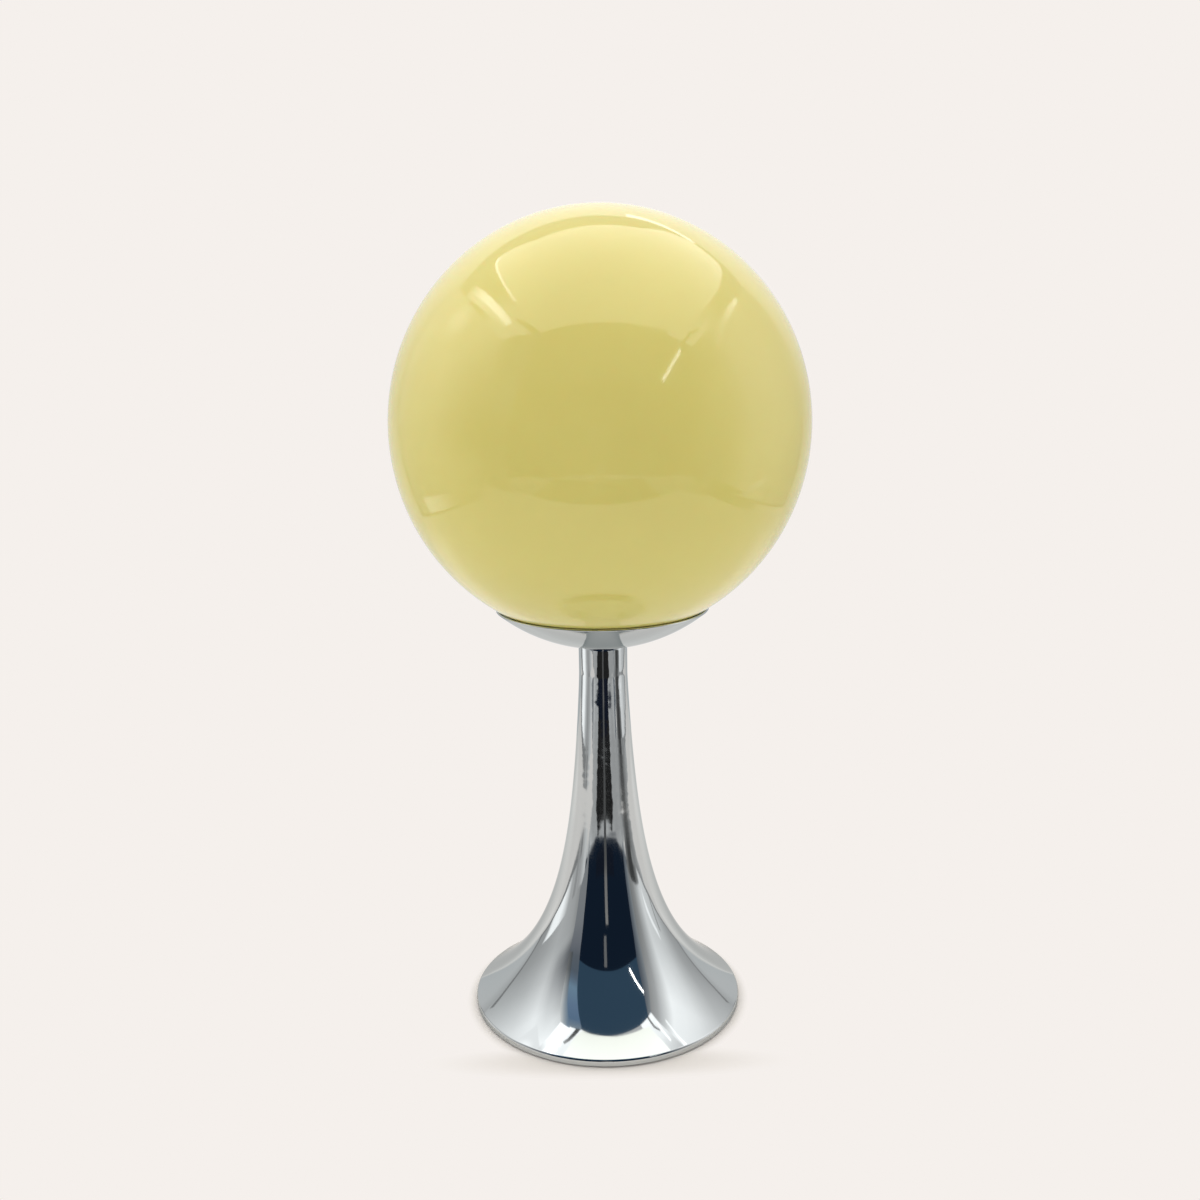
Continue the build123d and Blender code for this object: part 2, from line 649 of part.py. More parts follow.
def bulb_line(inset):
    """Bulb glass at an inset: an arc from its top past its widest, then a curve into the neck."""
    radius = BULB_RADIUS - inset
    arc = ThreePointArc(
        (0, bulb_centre + radius),
        (radius, bulb_centre),
        (radius * sin(waist_angle), bulb_centre - radius * cos(waist_angle)),
    )
    neck = (bulb_neck - inset, bulb_cap_top)
    Spline(arc @ 1, neck, tangents=[arc % 1, (0, -1)])
    Line(neck, (bulb_neck - inset, bulb_neck_bottom))


with BuildPart() as bulb_glass:
    with BuildSketch(Plane.XZ):
        with BuildLine():
            bulb_line(0)
            bulb_line(BULB_WALL)
            Line((0, bulb_centre + BULB_RADIUS), (0, bulb_centre + BULB_RADIUS - BULB_WALL))
            Line((bulb_neck, bulb_neck_bottom), (bulb_neck - BULB_WALL, bulb_neck_bottom))
        make_face()
    revolve(axis=Axis.Z)

# Glass mount inside the bulb and the filament on its two wires
mount_foot = bulb_neck - BULB_WALL - BULB_FIT
with BuildPart() as bulb_mount:
    with BuildSketch(Plane.XZ):
        with BuildLine():
            Polyline(
                (mount_foot, bulb_neck_bottom),
                (0, bulb_neck_bottom),
                (0, mount_top),
                (MOUNT_RADIUS, mount_top),
                (MOUNT_RADIUS, bulb_neck_bottom + MOUNT_FLARE),
            )
            Spline(
                (MOUNT_RADIUS, bulb_neck_bottom + MOUNT_FLARE),
                (mount_foot, bulb_neck_bottom),
                tangents=[(0, -1), (1, 0)],
            )
        make_face()
    revolve(axis=Axis.Z)

with BuildPart() as bulb_filament:
    with BuildLine():
        FilletPolyline(
            (-WIRE_SPREAD / 2, 0, mount_top),
            (-WIRE_SPREAD / 2, 0, mount_top + WIRE_RISE),
            (-FILAMENT_SPAN / 2, 0, mount_top + FILAMENT_RISE),
            (FILAMENT_SPAN / 2, 0, mount_top + FILAMENT_RISE),
            (WIRE_SPREAD / 2, 0, mount_top + WIRE_RISE),
            (WIRE_SPREAD / 2, 0, mount_top),
            radius=FILAMENT_BEND,
        )
    with BuildSketch(Plane(origin=(-WIRE_SPREAD / 2, 0, mount_top), z_dir=(0, 0, 1))):
        Circle(WIRE_RADIUS)
    sweep()

# Ball: two spheres about one centre, joined by the half round lip of the mouth
with BuildPart() as glass_globe:
    with BuildSketch(Plane.XZ):
        with BuildLine():
            ball = ThreePointArc(
                (0, globe_centre + GLOBE_RADIUS), (GLOBE_RADIUS, globe_centre), around_mouth(GLOBE_RADIUS, 0)
            )
            void = ThreePointArc(
                (0, globe_centre + globe_inner), (globe_inner, globe_centre), around_mouth(globe_inner, 0)
            )
            ThreePointArc(ball @ 1, around_mouth(lip_circle, lip_radius), void @ 1)
            Line(ball @ 0, void @ 0)
        make_face()
    revolve(axis=Axis.Z)

pieces = {
    "felt_pad": felt_pad,
    "bottom_plate": bottom_plate,
    "bottom_plate_screws": bottom_plate_screws,
    "ballast": ballast,
    "terminal_block": terminal_block,
    "terminal_screws": terminal_screws,
    "cord_bushing": cord_bushing,
    "trumpet_stem": trumpet_stem,
    "neck_plug": neck_plug,
    "threaded_tube": threaded_tube,
    "tube_locknut": tube_locknut,
    "cup_nut": cup_nut,
    "cup_washer": cup_washer,
    "globe_cup": globe_cup,
    "seat_ring": seat_ring,
    "globe_spring": globe_spring,
    "holder_cap": holder_cap,
    "holder_grub_screw": holder_grub_screw,
    "holder_insert": holder_insert,
    "holder_wire_screws": holder_wire_screws,
    "holder_contact": holder_contact,
    "holder_screw_shell": holder_screw_shell,
    "holder_body": holder_body,
    **leads,
    "bulb_contact": bulb_contact,
    "bulb_insulator": bulb_insulator,
    "bulb_cap": bulb_cap,
    "bulb_glass": bulb_glass,
    "bulb_mount": bulb_mount,
    "bulb_filament": bulb_filament,
    "glass_globe": glass_globe,
}

os.makedirs("parts", exist_ok=True)
for name, piece in pieces.items():
    piece.part.label = name
    export_step(piece.part, f"parts/{name}.step")
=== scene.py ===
import json

import bmesh
import bpy
import numpy as np
from mathutils import Matrix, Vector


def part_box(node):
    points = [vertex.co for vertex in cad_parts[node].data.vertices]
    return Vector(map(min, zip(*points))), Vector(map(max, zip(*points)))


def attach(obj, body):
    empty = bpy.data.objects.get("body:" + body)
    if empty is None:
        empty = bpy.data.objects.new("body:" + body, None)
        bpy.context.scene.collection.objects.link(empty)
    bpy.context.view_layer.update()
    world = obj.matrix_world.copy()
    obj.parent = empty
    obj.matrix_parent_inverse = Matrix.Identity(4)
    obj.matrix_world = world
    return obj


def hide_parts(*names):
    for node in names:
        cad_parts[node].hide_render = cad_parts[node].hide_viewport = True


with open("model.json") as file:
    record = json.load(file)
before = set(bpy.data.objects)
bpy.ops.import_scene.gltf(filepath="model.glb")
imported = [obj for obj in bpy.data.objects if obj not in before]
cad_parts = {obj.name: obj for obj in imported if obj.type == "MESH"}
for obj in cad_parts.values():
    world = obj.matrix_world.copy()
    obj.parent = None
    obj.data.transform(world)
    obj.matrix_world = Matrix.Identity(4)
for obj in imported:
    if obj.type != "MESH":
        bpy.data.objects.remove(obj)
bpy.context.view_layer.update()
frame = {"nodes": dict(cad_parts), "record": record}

MM = 0.001

# Trumpet, in millimetres, as in the part's source but with a rounder shoulder above the rim
FOOT_RADIUS = 72.0
FOOT_GAP = 0.8
RIM_TOP = 4.0
RIM_EDGE = 0.45
SHOULDER_EDGE = 1.9
STEM_HEIGHT = 199.5
STEM_WALL = 1.2
STEM_EDGE = 0.9
NECK_RADIUS = 12.3
NECK_BOTTOM = 184.5
FLARE_TILT = np.radians(34.0)
FLARE_PULL = 61.4
WAIST_HEIGHT = 83.9
WAIST_SWELL = 5.5
NECK_EASE = 7.0
INLET_HEIGHT = 8.9
INLET_RADIUS = 4.4

# Dish, in millimetres
CUP_RADIUS = 53.4
CUP_DEPTH = 18.5
CUP_FLAT = 13.0
CUP_WALL = 1.2
CUP_EDGE = 0.5
TUBE_HOLE = 5.05

# Ball, in millimetres
GLOBE_RADIUS = 100.0
GLOBE_WALL = 2.4
MOUTH_RADIUS = 38.0

# Fineness of the turned meshes, with spacings in millimetres
COLUMNS = 192
FLARE_ROWS = 150
FLARE_START = 4
BOWL_ROWS = 40
BALL_ROWS = 140
BALL_LINING_ROWS = 100
ARC_ROWS = 8
SPACING = 1.0
RIM_SPACING = 0.3
SAME_POINT = MM * 0.001
ROUND = np.linspace(0, 2 * np.pi, COLUMNS, endpoint=False)

# Cord inlet at the back of the trumpet: the columns are finer there, a block of faces is left out, and
# the grid of a patch round the block is spread to the inlet's circle. The least reach, in millimetres,
# keeps the division by a point's distance from zero
INLET_SPAN = np.radians(8.44)
INLET_COLUMNS = 16
INLET_HALF = 5
INLET_ROWS = (2, 9)
INLET_PATCH = 24
INLET_LEFT, INLET_RIGHT = INLET_COLUMNS - INLET_HALF, INLET_COLUMNS + INLET_HALF
LEAST_REACH = 0.001
INLET_SIDE = np.linspace(-INLET_SPAN, INLET_SPAN, 2 * INLET_COLUMNS + 1)
FAR_SIDE = np.linspace(INLET_SPAN, 2 * np.pi - INLET_SPAN, COLUMNS - INLET_COLUMNS + 1)[1:-1]
STEM_ANGLES = np.pi / 2 + np.concatenate([INLET_SIDE, FAR_SIDE])


def bezier(points, share):
    """Bezier curve of degree four: each control point weighted by its Bernstein polynomial of the share."""
    rest = 1 - share
    weights = [rest**4, 4 * rest**3 * share, 6 * rest**2 * share**2, 4 * rest * share**3, share**4]
    return np.stack(weights, axis=1) @ np.array(points)


def flare(inset, share):
    """Flare of the trumpet at an inset from its outside: it leaves the rim at its tilt and ends upright."""
    start = RIM_TOP + inset * ((1 - np.sin(FLARE_TILT)) * np.tan(FLARE_TILT) - np.cos(FLARE_TILT))
    edge = FOOT_RADIUS - inset
    neck = NECK_RADIUS - inset
    points = [
        (edge, start),
        (edge - FLARE_PULL * np.cos(FLARE_TILT), start + FLARE_PULL * np.sin(FLARE_TILT)),
        (neck + WAIST_SWELL, WAIST_HEIGHT),
        (neck, NECK_BOTTOM - NECK_EASE),
        (neck, NECK_BOTTOM),
    ]
    return bezier(points, share)


def circle_arc(centre, radius, start, end, rows):
    """Points on a circle in a profile between two angles in degrees, 0 outwards and 90 upwards."""
    angle = np.radians(np.linspace(start, end, rows))
    return np.stack([centre[0] + radius * np.cos(angle), centre[1] + radius * np.sin(angle)], axis=1)


def straight(start, end, spacing):
    """Points on a line in a profile, no further apart than the spacing."""
    start, end = np.array(start), np.array(end)
    rows = int(np.ceil(np.linalg.norm(end - start) / spacing)) + 1
    return start + np.linspace(0, 1, rows)[:, None] * (end - start)


def unit(vector):
    """Vector divided by its length."""
    return vector / np.linalg.norm(vector)


def round_corner(corner, before, after, radius):
    """Arc that touches both lines of a corner: it swings from one touching point to the other about a centre
    on the line that halves the corner."""
    corner = np.array(corner)
    back = unit(np.array(before) - corner)
    onwards = unit(np.array(after) - corner)
    half = np.arccos(back @ onwards) / 2
    centre = corner + unit(back + onwards) * radius / np.sin(half)
    first = corner + back * radius / np.tan(half) - centre
    last = corner + onwards * radius / np.tan(half) - centre
    swing = np.pi - 2 * half
    share = np.linspace(0, 1, ARC_ROWS)[:, None]
    return centre + (np.sin((1 - share) * swing) * first + np.sin(share * swing) * last) / np.sin(swing)


def turned(profile, angles):
    """Surface of revolution: a row and a column give (radius cos angle, radius sin angle, height)."""
    radius, height = profile[:, :1], profile[:, 1:]
    return np.stack(
        [radius * np.cos(angles), radius * np.sin(angles), height + 0 * angles[None, :]], axis=2
    )


def lattice(rows, columns, closed):
    """Corner numbers of the faces between neighbouring rows and columns. The columns go round, and the rows
    too where the profile is a closed line."""
    row = np.arange(rows if closed else rows - 1)[:, None]
    column = np.arange(columns)[None, :]
    above = (row + 1) % rows
    beside = (column + 1) % columns
    near, far = row * columns, above * columns
    corners = [near + column, near + beside, far + beside, far + column]
    return np.stack(corners, axis=2)


def make_piece(name, points, faces, body, node):
    """Mesh piece from points in millimetres and faces of four corners, with its poles and seams closed, in
    the place of a node and on its body."""
    used, faces = np.unique(faces.reshape(-1, 4), return_inverse=True)
    points = points.reshape(-1, 3)[used] * MM
    mesh = bpy.data.meshes.new(name)
    mesh.from_pydata(points.tolist(), [], faces.reshape(-1, 4).tolist())
    form = bmesh.new()
    form.from_mesh(mesh)
    bmesh.ops.remove_doubles(form, verts=form.verts, dist=SAME_POINT)
    bmesh.ops.recalc_face_normals(form, faces=form.faces)
    form.to_mesh(mesh)
    form.free()
    mesh.polygons.foreach_set("use_smooth", np.ones(len(mesh.polygons), bool))
    piece = bpy.data.objects.new(name, mesh)
    bpy.context.scene.collection.objects.link(piece)
    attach(piece, body)
    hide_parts(node)
    return piece


def turned_piece(name, profile, closed, body, node):
    """Piece turned from a profile, which is a closed line or one that starts and ends on the axis."""
    faces = lattice(len(profile), COLUMNS, closed)
    return make_piece(name, turned(profile, ROUND), faces, body, node)


def inlet_weight(rows, columns):
    """How much of the inlet's spread each grid point takes: 1 at the block that is left out, and then less
    and less, down to 0 at the edge of the patch, by the larger of its shares along the rows and the
    columns."""
    row = np.arange(rows)[:, None]
    column = np.arange(columns)[None, :]
    first, last = INLET_ROWS
    along = np.maximum((first - row) / first, (row - last) / (INLET_PATCH - last))
    across = (np.abs(column - INLET_COLUMNS) - INLET_HALF) / (INLET_COLUMNS - INLET_HALF)
    return 1 - np.clip(np.maximum(along, across), 0, 1)


def open_inlet(wall, profile):
    """Wall of the trumpet with its grid spread, seen along Y, from the left-out block to the inlet's circle.
    Each point takes its weight's share of the way from the block's nearest point to the circle, and is put
    back on the wall: its depth is the square root of the wall's radius at that height squared less its
    offset squared."""
    rows, columns = wall.shape[:2]
    block_row = np.clip(np.arange(rows), *INLET_ROWS)
    block_column = np.clip(np.arange(columns), INLET_LEFT, INLET_RIGHT)
    block = wall[block_row][:, block_column]
    across, up = block[..., 0], block[..., 2] - INLET_HEIGHT
    weight = inlet_weight(rows, columns)
    share = weight * (INLET_RADIUS / np.maximum(np.hypot(across, up), LEAST_REACH) - 1)
    across = wall[..., 0] + share * across
    height = wall[..., 2] + share * up
    radius = np.interp(height, profile[:, 1], profile[:, 0])
    moved = np.stack([across, np.sqrt(np.maximum(radius**2 - across**2, 0)), height], axis=2)
    return np.where(weight[..., None] > 0, moved, wall)


def trumpet_runs():
    """Four runs of the sheet's closed line: the outer flare from rim to neck, the way over the rounded top
    edge and down the bore, the inner flare from rim to neck, and the way round the rim."""
    rim_share = SHOULDER_EDGE / np.tan(np.pi / 4 + FLARE_TILT / 2) / (4 * FLARE_PULL)
    share = np.linspace(rim_share, 1, FLARE_ROWS)
    outside, inside = flare(0, share), flare(STEM_WALL, share)
    neck_bore, rim_bore = NECK_RADIUS - STEM_WALL, FOOT_RADIUS - STEM_WALL
    top, bottom = (NECK_RADIUS, STEM_HEIGHT), (FOOT_RADIUS, FOOT_GAP)
    shoulder, sole = (FOOT_RADIUS, RIM_TOP), (rim_bore, FOOT_GAP)
    over_neck = np.concatenate(
        [
            straight((NECK_RADIUS, NECK_BOTTOM), (NECK_RADIUS, STEM_HEIGHT - STEM_EDGE), SPACING)[1:-1],
            round_corner(top, (NECK_RADIUS, NECK_BOTTOM), (neck_bore, STEM_HEIGHT), STEM_EDGE),
            straight((neck_bore, STEM_HEIGHT), (neck_bore, NECK_BOTTOM), SPACING)[:-1],
        ]
    )
    rim_low, rim_high = (FOOT_RADIUS, FOOT_GAP + RIM_EDGE), (FOOT_RADIUS, RIM_TOP - SHOULDER_EDGE)
    under_rim = np.concatenate(
        [
            straight(sole, (FOOT_RADIUS - RIM_EDGE, FOOT_GAP), RIM_SPACING)[:-1],
            round_corner(bottom, sole, shoulder, RIM_EDGE),
            straight(rim_low, rim_high, RIM_SPACING)[1:-1],
            round_corner(shoulder, bottom, tuple(outside[FLARE_START]), SHOULDER_EDGE)[:-1],
        ]
    )
    return outside, over_neck, inside, under_rim


def make_trumpet():
    """Spun sheet: its closed line turned about the axis, with the cord inlet left open in both walls and the
    inlet's edge joined through the sheet."""
    outside, over_neck, inside, under_rim = trumpet_runs()
    profile = np.concatenate([outside, over_neck, inside[::-1], under_rim])
    points = turned(profile, STEM_ANGLES)
    lining = len(outside) + len(over_neck)
    outer_rows = slice(0, FLARE_ROWS)
    inner_rows = slice(lining, lining + FLARE_ROWS)
    points[outer_rows] = open_inlet(points[outer_rows], outside)
    points[inner_rows] = open_inlet(points[inner_rows][::-1], inside)[::-1]
    columns = len(STEM_ANGLES)
    faces = lattice(len(profile), columns, True)
    first, last = INLET_ROWS
    left, right = INLET_LEFT, INLET_RIGHT
    mirror = lining + FLARE_ROWS - 1
    kept = np.ones(faces.shape[:2], bool)
    kept[first:last, left:right] = False
    kept[mirror - last : mirror - first, left:right] = False
    up, across = np.arange(first, last), np.arange(left, right)
    ring_rows = np.concatenate([up, np.full(len(across), last), up[::-1] + 1, np.full(len(across), first)])
    ring_columns = np.concatenate([np.full(len(up), left), across, np.full(len(up), right), across[::-1] + 1])
    edge = ring_rows * columns + ring_columns
    back_edge = (mirror - ring_rows) * columns + ring_columns
    wall = np.stack([edge, np.roll(edge, -1), np.roll(back_edge, -1), back_edge], axis=1)
    faces = np.concatenate([faces[kept], wall])
    return make_piece("trumpet", points, faces, "stand", "trumpet_stem")


def make_dish():
    """Shallow dish: two arcs about one centre on the axis, joined by a rounded rim and by a flat floor with
    the tube's hole, turned about the axis."""
    centre = STEM_HEIGHT + (CUP_RADIUS**2 + CUP_DEPTH**2 - CUP_FLAT**2) / (2 * CUP_DEPTH)
    outer = np.hypot(CUP_FLAT, centre - STEM_HEIGHT)
    inner = outer - CUP_WALL
    floor = STEM_HEIGHT + CUP_WALL
    inner_flat = np.sqrt(inner**2 - (centre - floor) ** 2)
    rim_angle = np.degrees(np.arcsin(CUP_RADIUS / outer)) - 90
    outer_edge = (CUP_RADIUS, centre + outer * np.sin(np.radians(rim_angle)))
    inner_edge = (inner * np.cos(np.radians(rim_angle)), centre + inner * np.sin(np.radians(rim_angle)))
    arc_end = rim_angle - np.degrees(CUP_EDGE / inner)
    bowl_start = np.degrees(np.arcsin(CUP_FLAT / outer)) - 90
    lining_end = np.degrees(np.arcsin(inner_flat / inner)) - 90
    bowl = circle_arc((0, centre), outer, bowl_start, arc_end, BOWL_ROWS)
    lining = circle_arc((0, centre), inner, arc_end, lining_end, BOWL_ROWS)
    profile = np.concatenate(
        [
            straight((TUBE_HOLE, STEM_HEIGHT), (CUP_FLAT, STEM_HEIGHT), SPACING)[:-1],
            bowl,
            round_corner(outer_edge, bowl[-1], inner_edge, CUP_EDGE)[1:],
            round_corner(inner_edge, outer_edge, lining[0], CUP_EDGE)[:-1],
            lining,
            straight((inner_flat, floor), (TUBE_HOLE, floor), SPACING)[1:],
        ]
    )
    return turned_piece("dish", profile, True, "stand", "globe_cup")


def make_ball():
    """Glass ball: an outer and an inner arc about one centre, from the pole down to the mouth, joined by a
    half round lip, turned about the axis."""
    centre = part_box("glass_globe")[1].z / MM - GLOBE_RADIUS
    lip = GLOBE_WALL / 2
    lip_circle = GLOBE_RADIUS - lip
    mouth = np.arcsin((MOUTH_RADIUS + lip) / lip_circle)
    cut = np.degrees(mouth) - 90
    lip_centre = (lip_circle * np.sin(mouth), centre - lip_circle * np.cos(mouth))
    profile = np.concatenate(
        [
            circle_arc((0, centre), GLOBE_RADIUS, 90, cut, BALL_ROWS),
            circle_arc(lip_centre, lip, cut, cut - 180, 2 * ARC_ROWS)[1:-1],
            circle_arc((0, centre), GLOBE_RADIUS - GLOBE_WALL, cut, 90, BALL_LINING_ROWS),
        ]
    )
    profile[[0, -1], 0] = 0
    return turned_piece("ball", profile, False, "globe", "glass_globe")


trumpet = make_trumpet()
dish = make_dish()
ball = make_ball()


# Node helpers for the finishes and the stage
def add(tree, kind, inputs, **settings):
    """Node of a kind with its settings, and with each input set to a value or joined to a socket."""
    made = tree.nodes.new("ShaderNode" + kind)
    for key, value in settings.items():
        setattr(made, key, value)
    for key, value in inputs.items():
        if isinstance(value, bpy.types.NodeSocket):
            tree.links.new(value, made.inputs[key])
        else:
            made.inputs[key].default_value = value
    return made


def find_place(tree):
    """Place of a point on its piece, in metres."""
    return add(tree, "TexCoord", {}).outputs["Object"]


def maths(tree, operation, first, second):
    """Result of an operation on two values."""
    return add(tree, "Math", {0: first, 1: second}, operation=operation).outputs["Value"]


def distance(tree, place, centre):
    """Distance of a place from a centre."""
    return add(tree, "VectorMath", {0: place, 1: centre}, operation="DISTANCE").outputs["Value"]


def length(tree, vector):
    """Length of a vector."""
    return add(tree, "VectorMath", {0: vector}, operation="LENGTH").outputs["Value"]


def between(tree, value, low, high):
    """A value from 0 to 1 spread over another range."""
    return add(tree, "MapRange", {"Value": value, "To Min": low, "To Max": high}).outputs["Result"]


def fade(tree, value, start, end):
    """0 up to a start, 1 from an end, and a smooth step between."""
    span = {"Value": value, "From Min": start, "From Max": end}
    return add(tree, "MapRange", span, interpolation_type="SMOOTHSTEP").outputs["Result"]


def tones(tree, value, stops):
    """Colour by a value between 0 and 1, through stops of (value, colour)."""
    ramp = add(tree, "ValToRGB", {"Fac": value})
    bands = ramp.color_ramp.elements
    bands[0].position, bands[1].position = stops[0][0], stops[-1][0]
    bands[0].color, bands[1].color = (*stops[0][1], 1), (*stops[-1][1], 1)
    for position, colour in stops[1:-1]:
        bands.new(position).color = (*colour, 1)
    return ramp.outputs["Color"]


def grain(tree, place, scale, detail=3.0):
    """Noise over a place, so many times a metre."""
    return add(tree, "TexNoise", {"Vector": place, "Scale": scale, "Detail": detail}).outputs["Fac"]


def relief(tree, height, depth, strength=1.0, under=None):
    """Small relief of a depth in metres, over another where there is one."""
    bump = add(tree, "Bump", {"Height": height, "Distance": depth, "Strength": strength})
    if under is not None:
        tree.links.new(under, bump.inputs["Normal"])
    return bump.outputs["Normal"]


# Share of the noise up to which a finish is dark and from which it is pale, and how much finer than its
# tones its gloss wanders
DARK_END, PALE_START = 0.3, 0.7
GLOSS_FINENESS = 2.3


def two_tones(tree, value, dark, pale):
    """Two close tones and what lies between them, by a value."""
    return tones(tree, value, [(DARK_END, dark), (PALE_START, pale)])


def new_finish(name, **sockets):
    """Material with one shader, whose plain numbers are set on its sockets, its nodes and the place."""
    material = bpy.data.materials.new(name)
    material.use_nodes = True
    tree = material.node_tree
    shader = tree.nodes["Principled BSDF"]
    for key, value in sockets.items():
        shader.inputs[key.replace("_", " ")].default_value = value
    return material, tree, shader, find_place(tree)


def join(tree, shader, **sockets):
    """Joins sockets to the shader's inputs by their names."""
    for key, value in sockets.items():
        tree.links.new(value, shader.inputs[key.replace("_", " ")])


def mottled(name, dark, pale, scale, gloss, relief_scale, relief_depth, **sockets):
    """Finish of two close tones and two roughnesses that wander with noise, with a fine relief."""
    material, tree, shader, place = new_finish(name, **sockets)
    join(
        tree,
        shader,
        Base_Color=two_tones(tree, grain(tree, place, scale), dark, pale),
        Roughness=between(tree, grain(tree, place, scale * GLOSS_FINENESS), *gloss),
        Normal=relief(tree, grain(tree, place, relief_scale), relief_depth),
    )
    return material


CHROME_TINT = (0.62, 0.65, 0.66, 1)
CHROME_DARK, CHROME_PALE = (0.575, 0.605, 0.612), (0.605, 0.63, 0.636)
CHROME_GLOSS = (0.02, 0.075)
SHEET_WAVE, NECK_RIPPLE = 0.0004, 0.00003
RIPPLE_FULL = 0.7
RIPPLE_SPAN = (WAIST_HEIGHT * MM, NECK_BOTTOM * MM * RIPPLE_FULL)


def make_chrome():
    """Polished chrome on spun brass: a faint wave of the sheet, a fine ripple on the neck and wiped haze."""
    material, tree, shader, place = new_finish("chrome", Metallic=1.0, Specular_Tint=CHROME_TINT)
    haze = grain(tree, place, scale=26, detail=5)
    sheet = relief(tree, grain(tree, place, scale=38, detail=1), SHEET_WAVE, strength=0.35)
    height = add(tree, "SeparateXYZ", {"Vector": place}).outputs["Z"]
    neck = fade(tree, height, *RIPPLE_SPAN)
    ripple = maths(tree, "MULTIPLY", grain(tree, place, scale=170, detail=1), neck)
    join(
        tree,
        shader,
        Base_Color=two_tones(tree, haze, CHROME_DARK, CHROME_PALE),
        Roughness=between(tree, grain(tree, place, scale=70, detail=4), *CHROME_GLOSS),
        Normal=relief(tree, ripple, NECK_RIPPLE, under=sheet),
    )
    return material


YELLOW_DARK, YELLOW_PALE = (0.71, 0.612, 0.181), (0.76, 0.662, 0.206)
MILK = (0.86, 0.84, 0.74, 1)
OPAL_GLOSS = (0.035, 0.09)
OPAL_CORDS = 0.0004
CORD_STRETCH = (1, 1, 0.25)


def make_opal():
    """Opal glass cased in pale yellow: yellow outside, milk white inside, with faint cords in the gloss."""
    material, tree, shader, place = new_finish(
        "opal_glass", IOR=1.52, Subsurface_Weight=0.15, Subsurface_Scale=0.004
    )
    centre = (0, 0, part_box("glass_globe")[1].z - GLOBE_RADIUS * MM)
    casing = (GLOBE_RADIUS - GLOBE_WALL / 2) * MM
    outside = maths(tree, "GREATER_THAN", distance(tree, place, centre), casing)
    yellow = two_tones(tree, grain(tree, place, scale=14, detail=4), YELLOW_DARK, YELLOW_PALE)
    skin = add(tree, "Mix", {0: outside, 6: MILK, 7: yellow}, data_type="RGBA")
    stretched = add(tree, "Mapping", {"Vector": place, "Scale": CORD_STRETCH}).outputs["Vector"]
    cords = grain(tree, stretched, scale=30, detail=2)
    join(
        tree,
        shader,
        Base_Color=skin.outputs[2],
        Roughness=between(tree, grain(tree, place, scale=40, detail=4), *OPAL_GLOSS),
        Normal=relief(tree, cords, OPAL_CORDS, strength=0.2),
    )
    return material


# Mottled finishes: dark tone, pale tone, patches a metre, least and most roughness, grains of relief a
# metre, depth of the relief in metres, and what else the shader takes
METAL = {"Metallic": 1.0}
MOTTLED = {
    "felt": ((0.03, 0.032, 0.03), (0.09, 0.09, 0.085), 900, (0.85, 1.0), 2600, 0.0004, {}),
    "zinc_steel": ((0.5, 0.51, 0.52), (0.66, 0.66, 0.64), 160, (0.25, 0.45), 1200, 0.00004, METAL),
    "spring_steel": ((0.36, 0.37, 0.38), (0.5, 0.5, 0.5), 120, (0.2, 0.38), 900, 0.00004, METAL),
    "cast_iron": (
        (0.05, 0.048, 0.046), (0.12, 0.115, 0.11), 260, (0.6, 0.85), 700, 0.0006,
        {"Metallic": 0.6},
    ),
    "black_plastic": ((0.018, 0.018, 0.02), (0.035, 0.035, 0.037), 220, (0.4, 0.55), 1800, 0.00008, {}),
    "white_plastic": ((0.7, 0.68, 0.61), (0.8, 0.78, 0.72), 180, (0.25, 0.4), 1500, 0.00005, {}),
    "brown_insulation": ((0.1, 0.04, 0.018), (0.15, 0.065, 0.03), 300, (0.35, 0.5), 1500, 0.00005, {}),
    "blue_insulation": ((0.02, 0.07, 0.24), (0.035, 0.11, 0.32), 300, (0.35, 0.5), 1500, 0.00005, {}),
    "rubber": ((0.012, 0.012, 0.012), (0.03, 0.03, 0.029), 350, (0.6, 0.8), 1600, 0.00012, {}),
    "black_phenolic": ((0.011, 0.010, 0.009), (0.024, 0.021, 0.019), 240, (0.14, 0.28), 500, 0.00003, {}),
    "porcelain": (
        (0.76, 0.74, 0.68), (0.84, 0.83, 0.79), 120, (0.08, 0.18), 260, 0.00008,
        {"Coat_Weight": 0.6},
    ),
    "brass": ((0.62, 0.42, 0.16), (0.78, 0.57, 0.27), 140, (0.18, 0.36), 900, 0.00004, METAL),
    "bulb_cap_metal": ((0.62, 0.61, 0.58), (0.76, 0.75, 0.72), 150, (0.22, 0.42), 1100, 0.00004, METAL),
    "black_glass": ((0.012, 0.01, 0.014), (0.03, 0.026, 0.034), 300, (0.08, 0.22), 700, 0.0001, {}),
    "solder": ((0.38, 0.38, 0.38), (0.56, 0.56, 0.55), 420, (0.35, 0.6), 800, 0.00015, METAL),
    "frosted_glass": (
        (0.88, 0.88, 0.86), (0.95, 0.95, 0.93), 60, (0.35, 0.5), 2400, 0.00003,
        {"Transmission_Weight": 0.55, "IOR": 1.5},
    ),
    "clear_glass": (
        (0.93, 0.95, 0.94), (0.97, 0.98, 0.98), 60, (0.02, 0.06), 300, 0.00003,
        {"Transmission_Weight": 1.0, "IOR": 1.5},
    ),
    "filament_wire": ((0.16, 0.155, 0.15), (0.3, 0.29, 0.28), 500, (0.3, 0.5), 2500, 0.00004, METAL),
}
FINISHES = {"chrome": make_chrome(), "opal_glass": make_opal()}
for slot, (*measures, sockets) in MOTTLED.items():
    FINISHES[slot] = mottled(slot, *measures, **sockets)


def wear(piece, slot):
    """Gives a piece the finish of a slot."""
    piece.data.materials.clear()
    piece.data.materials.append(FINISHES[slot])


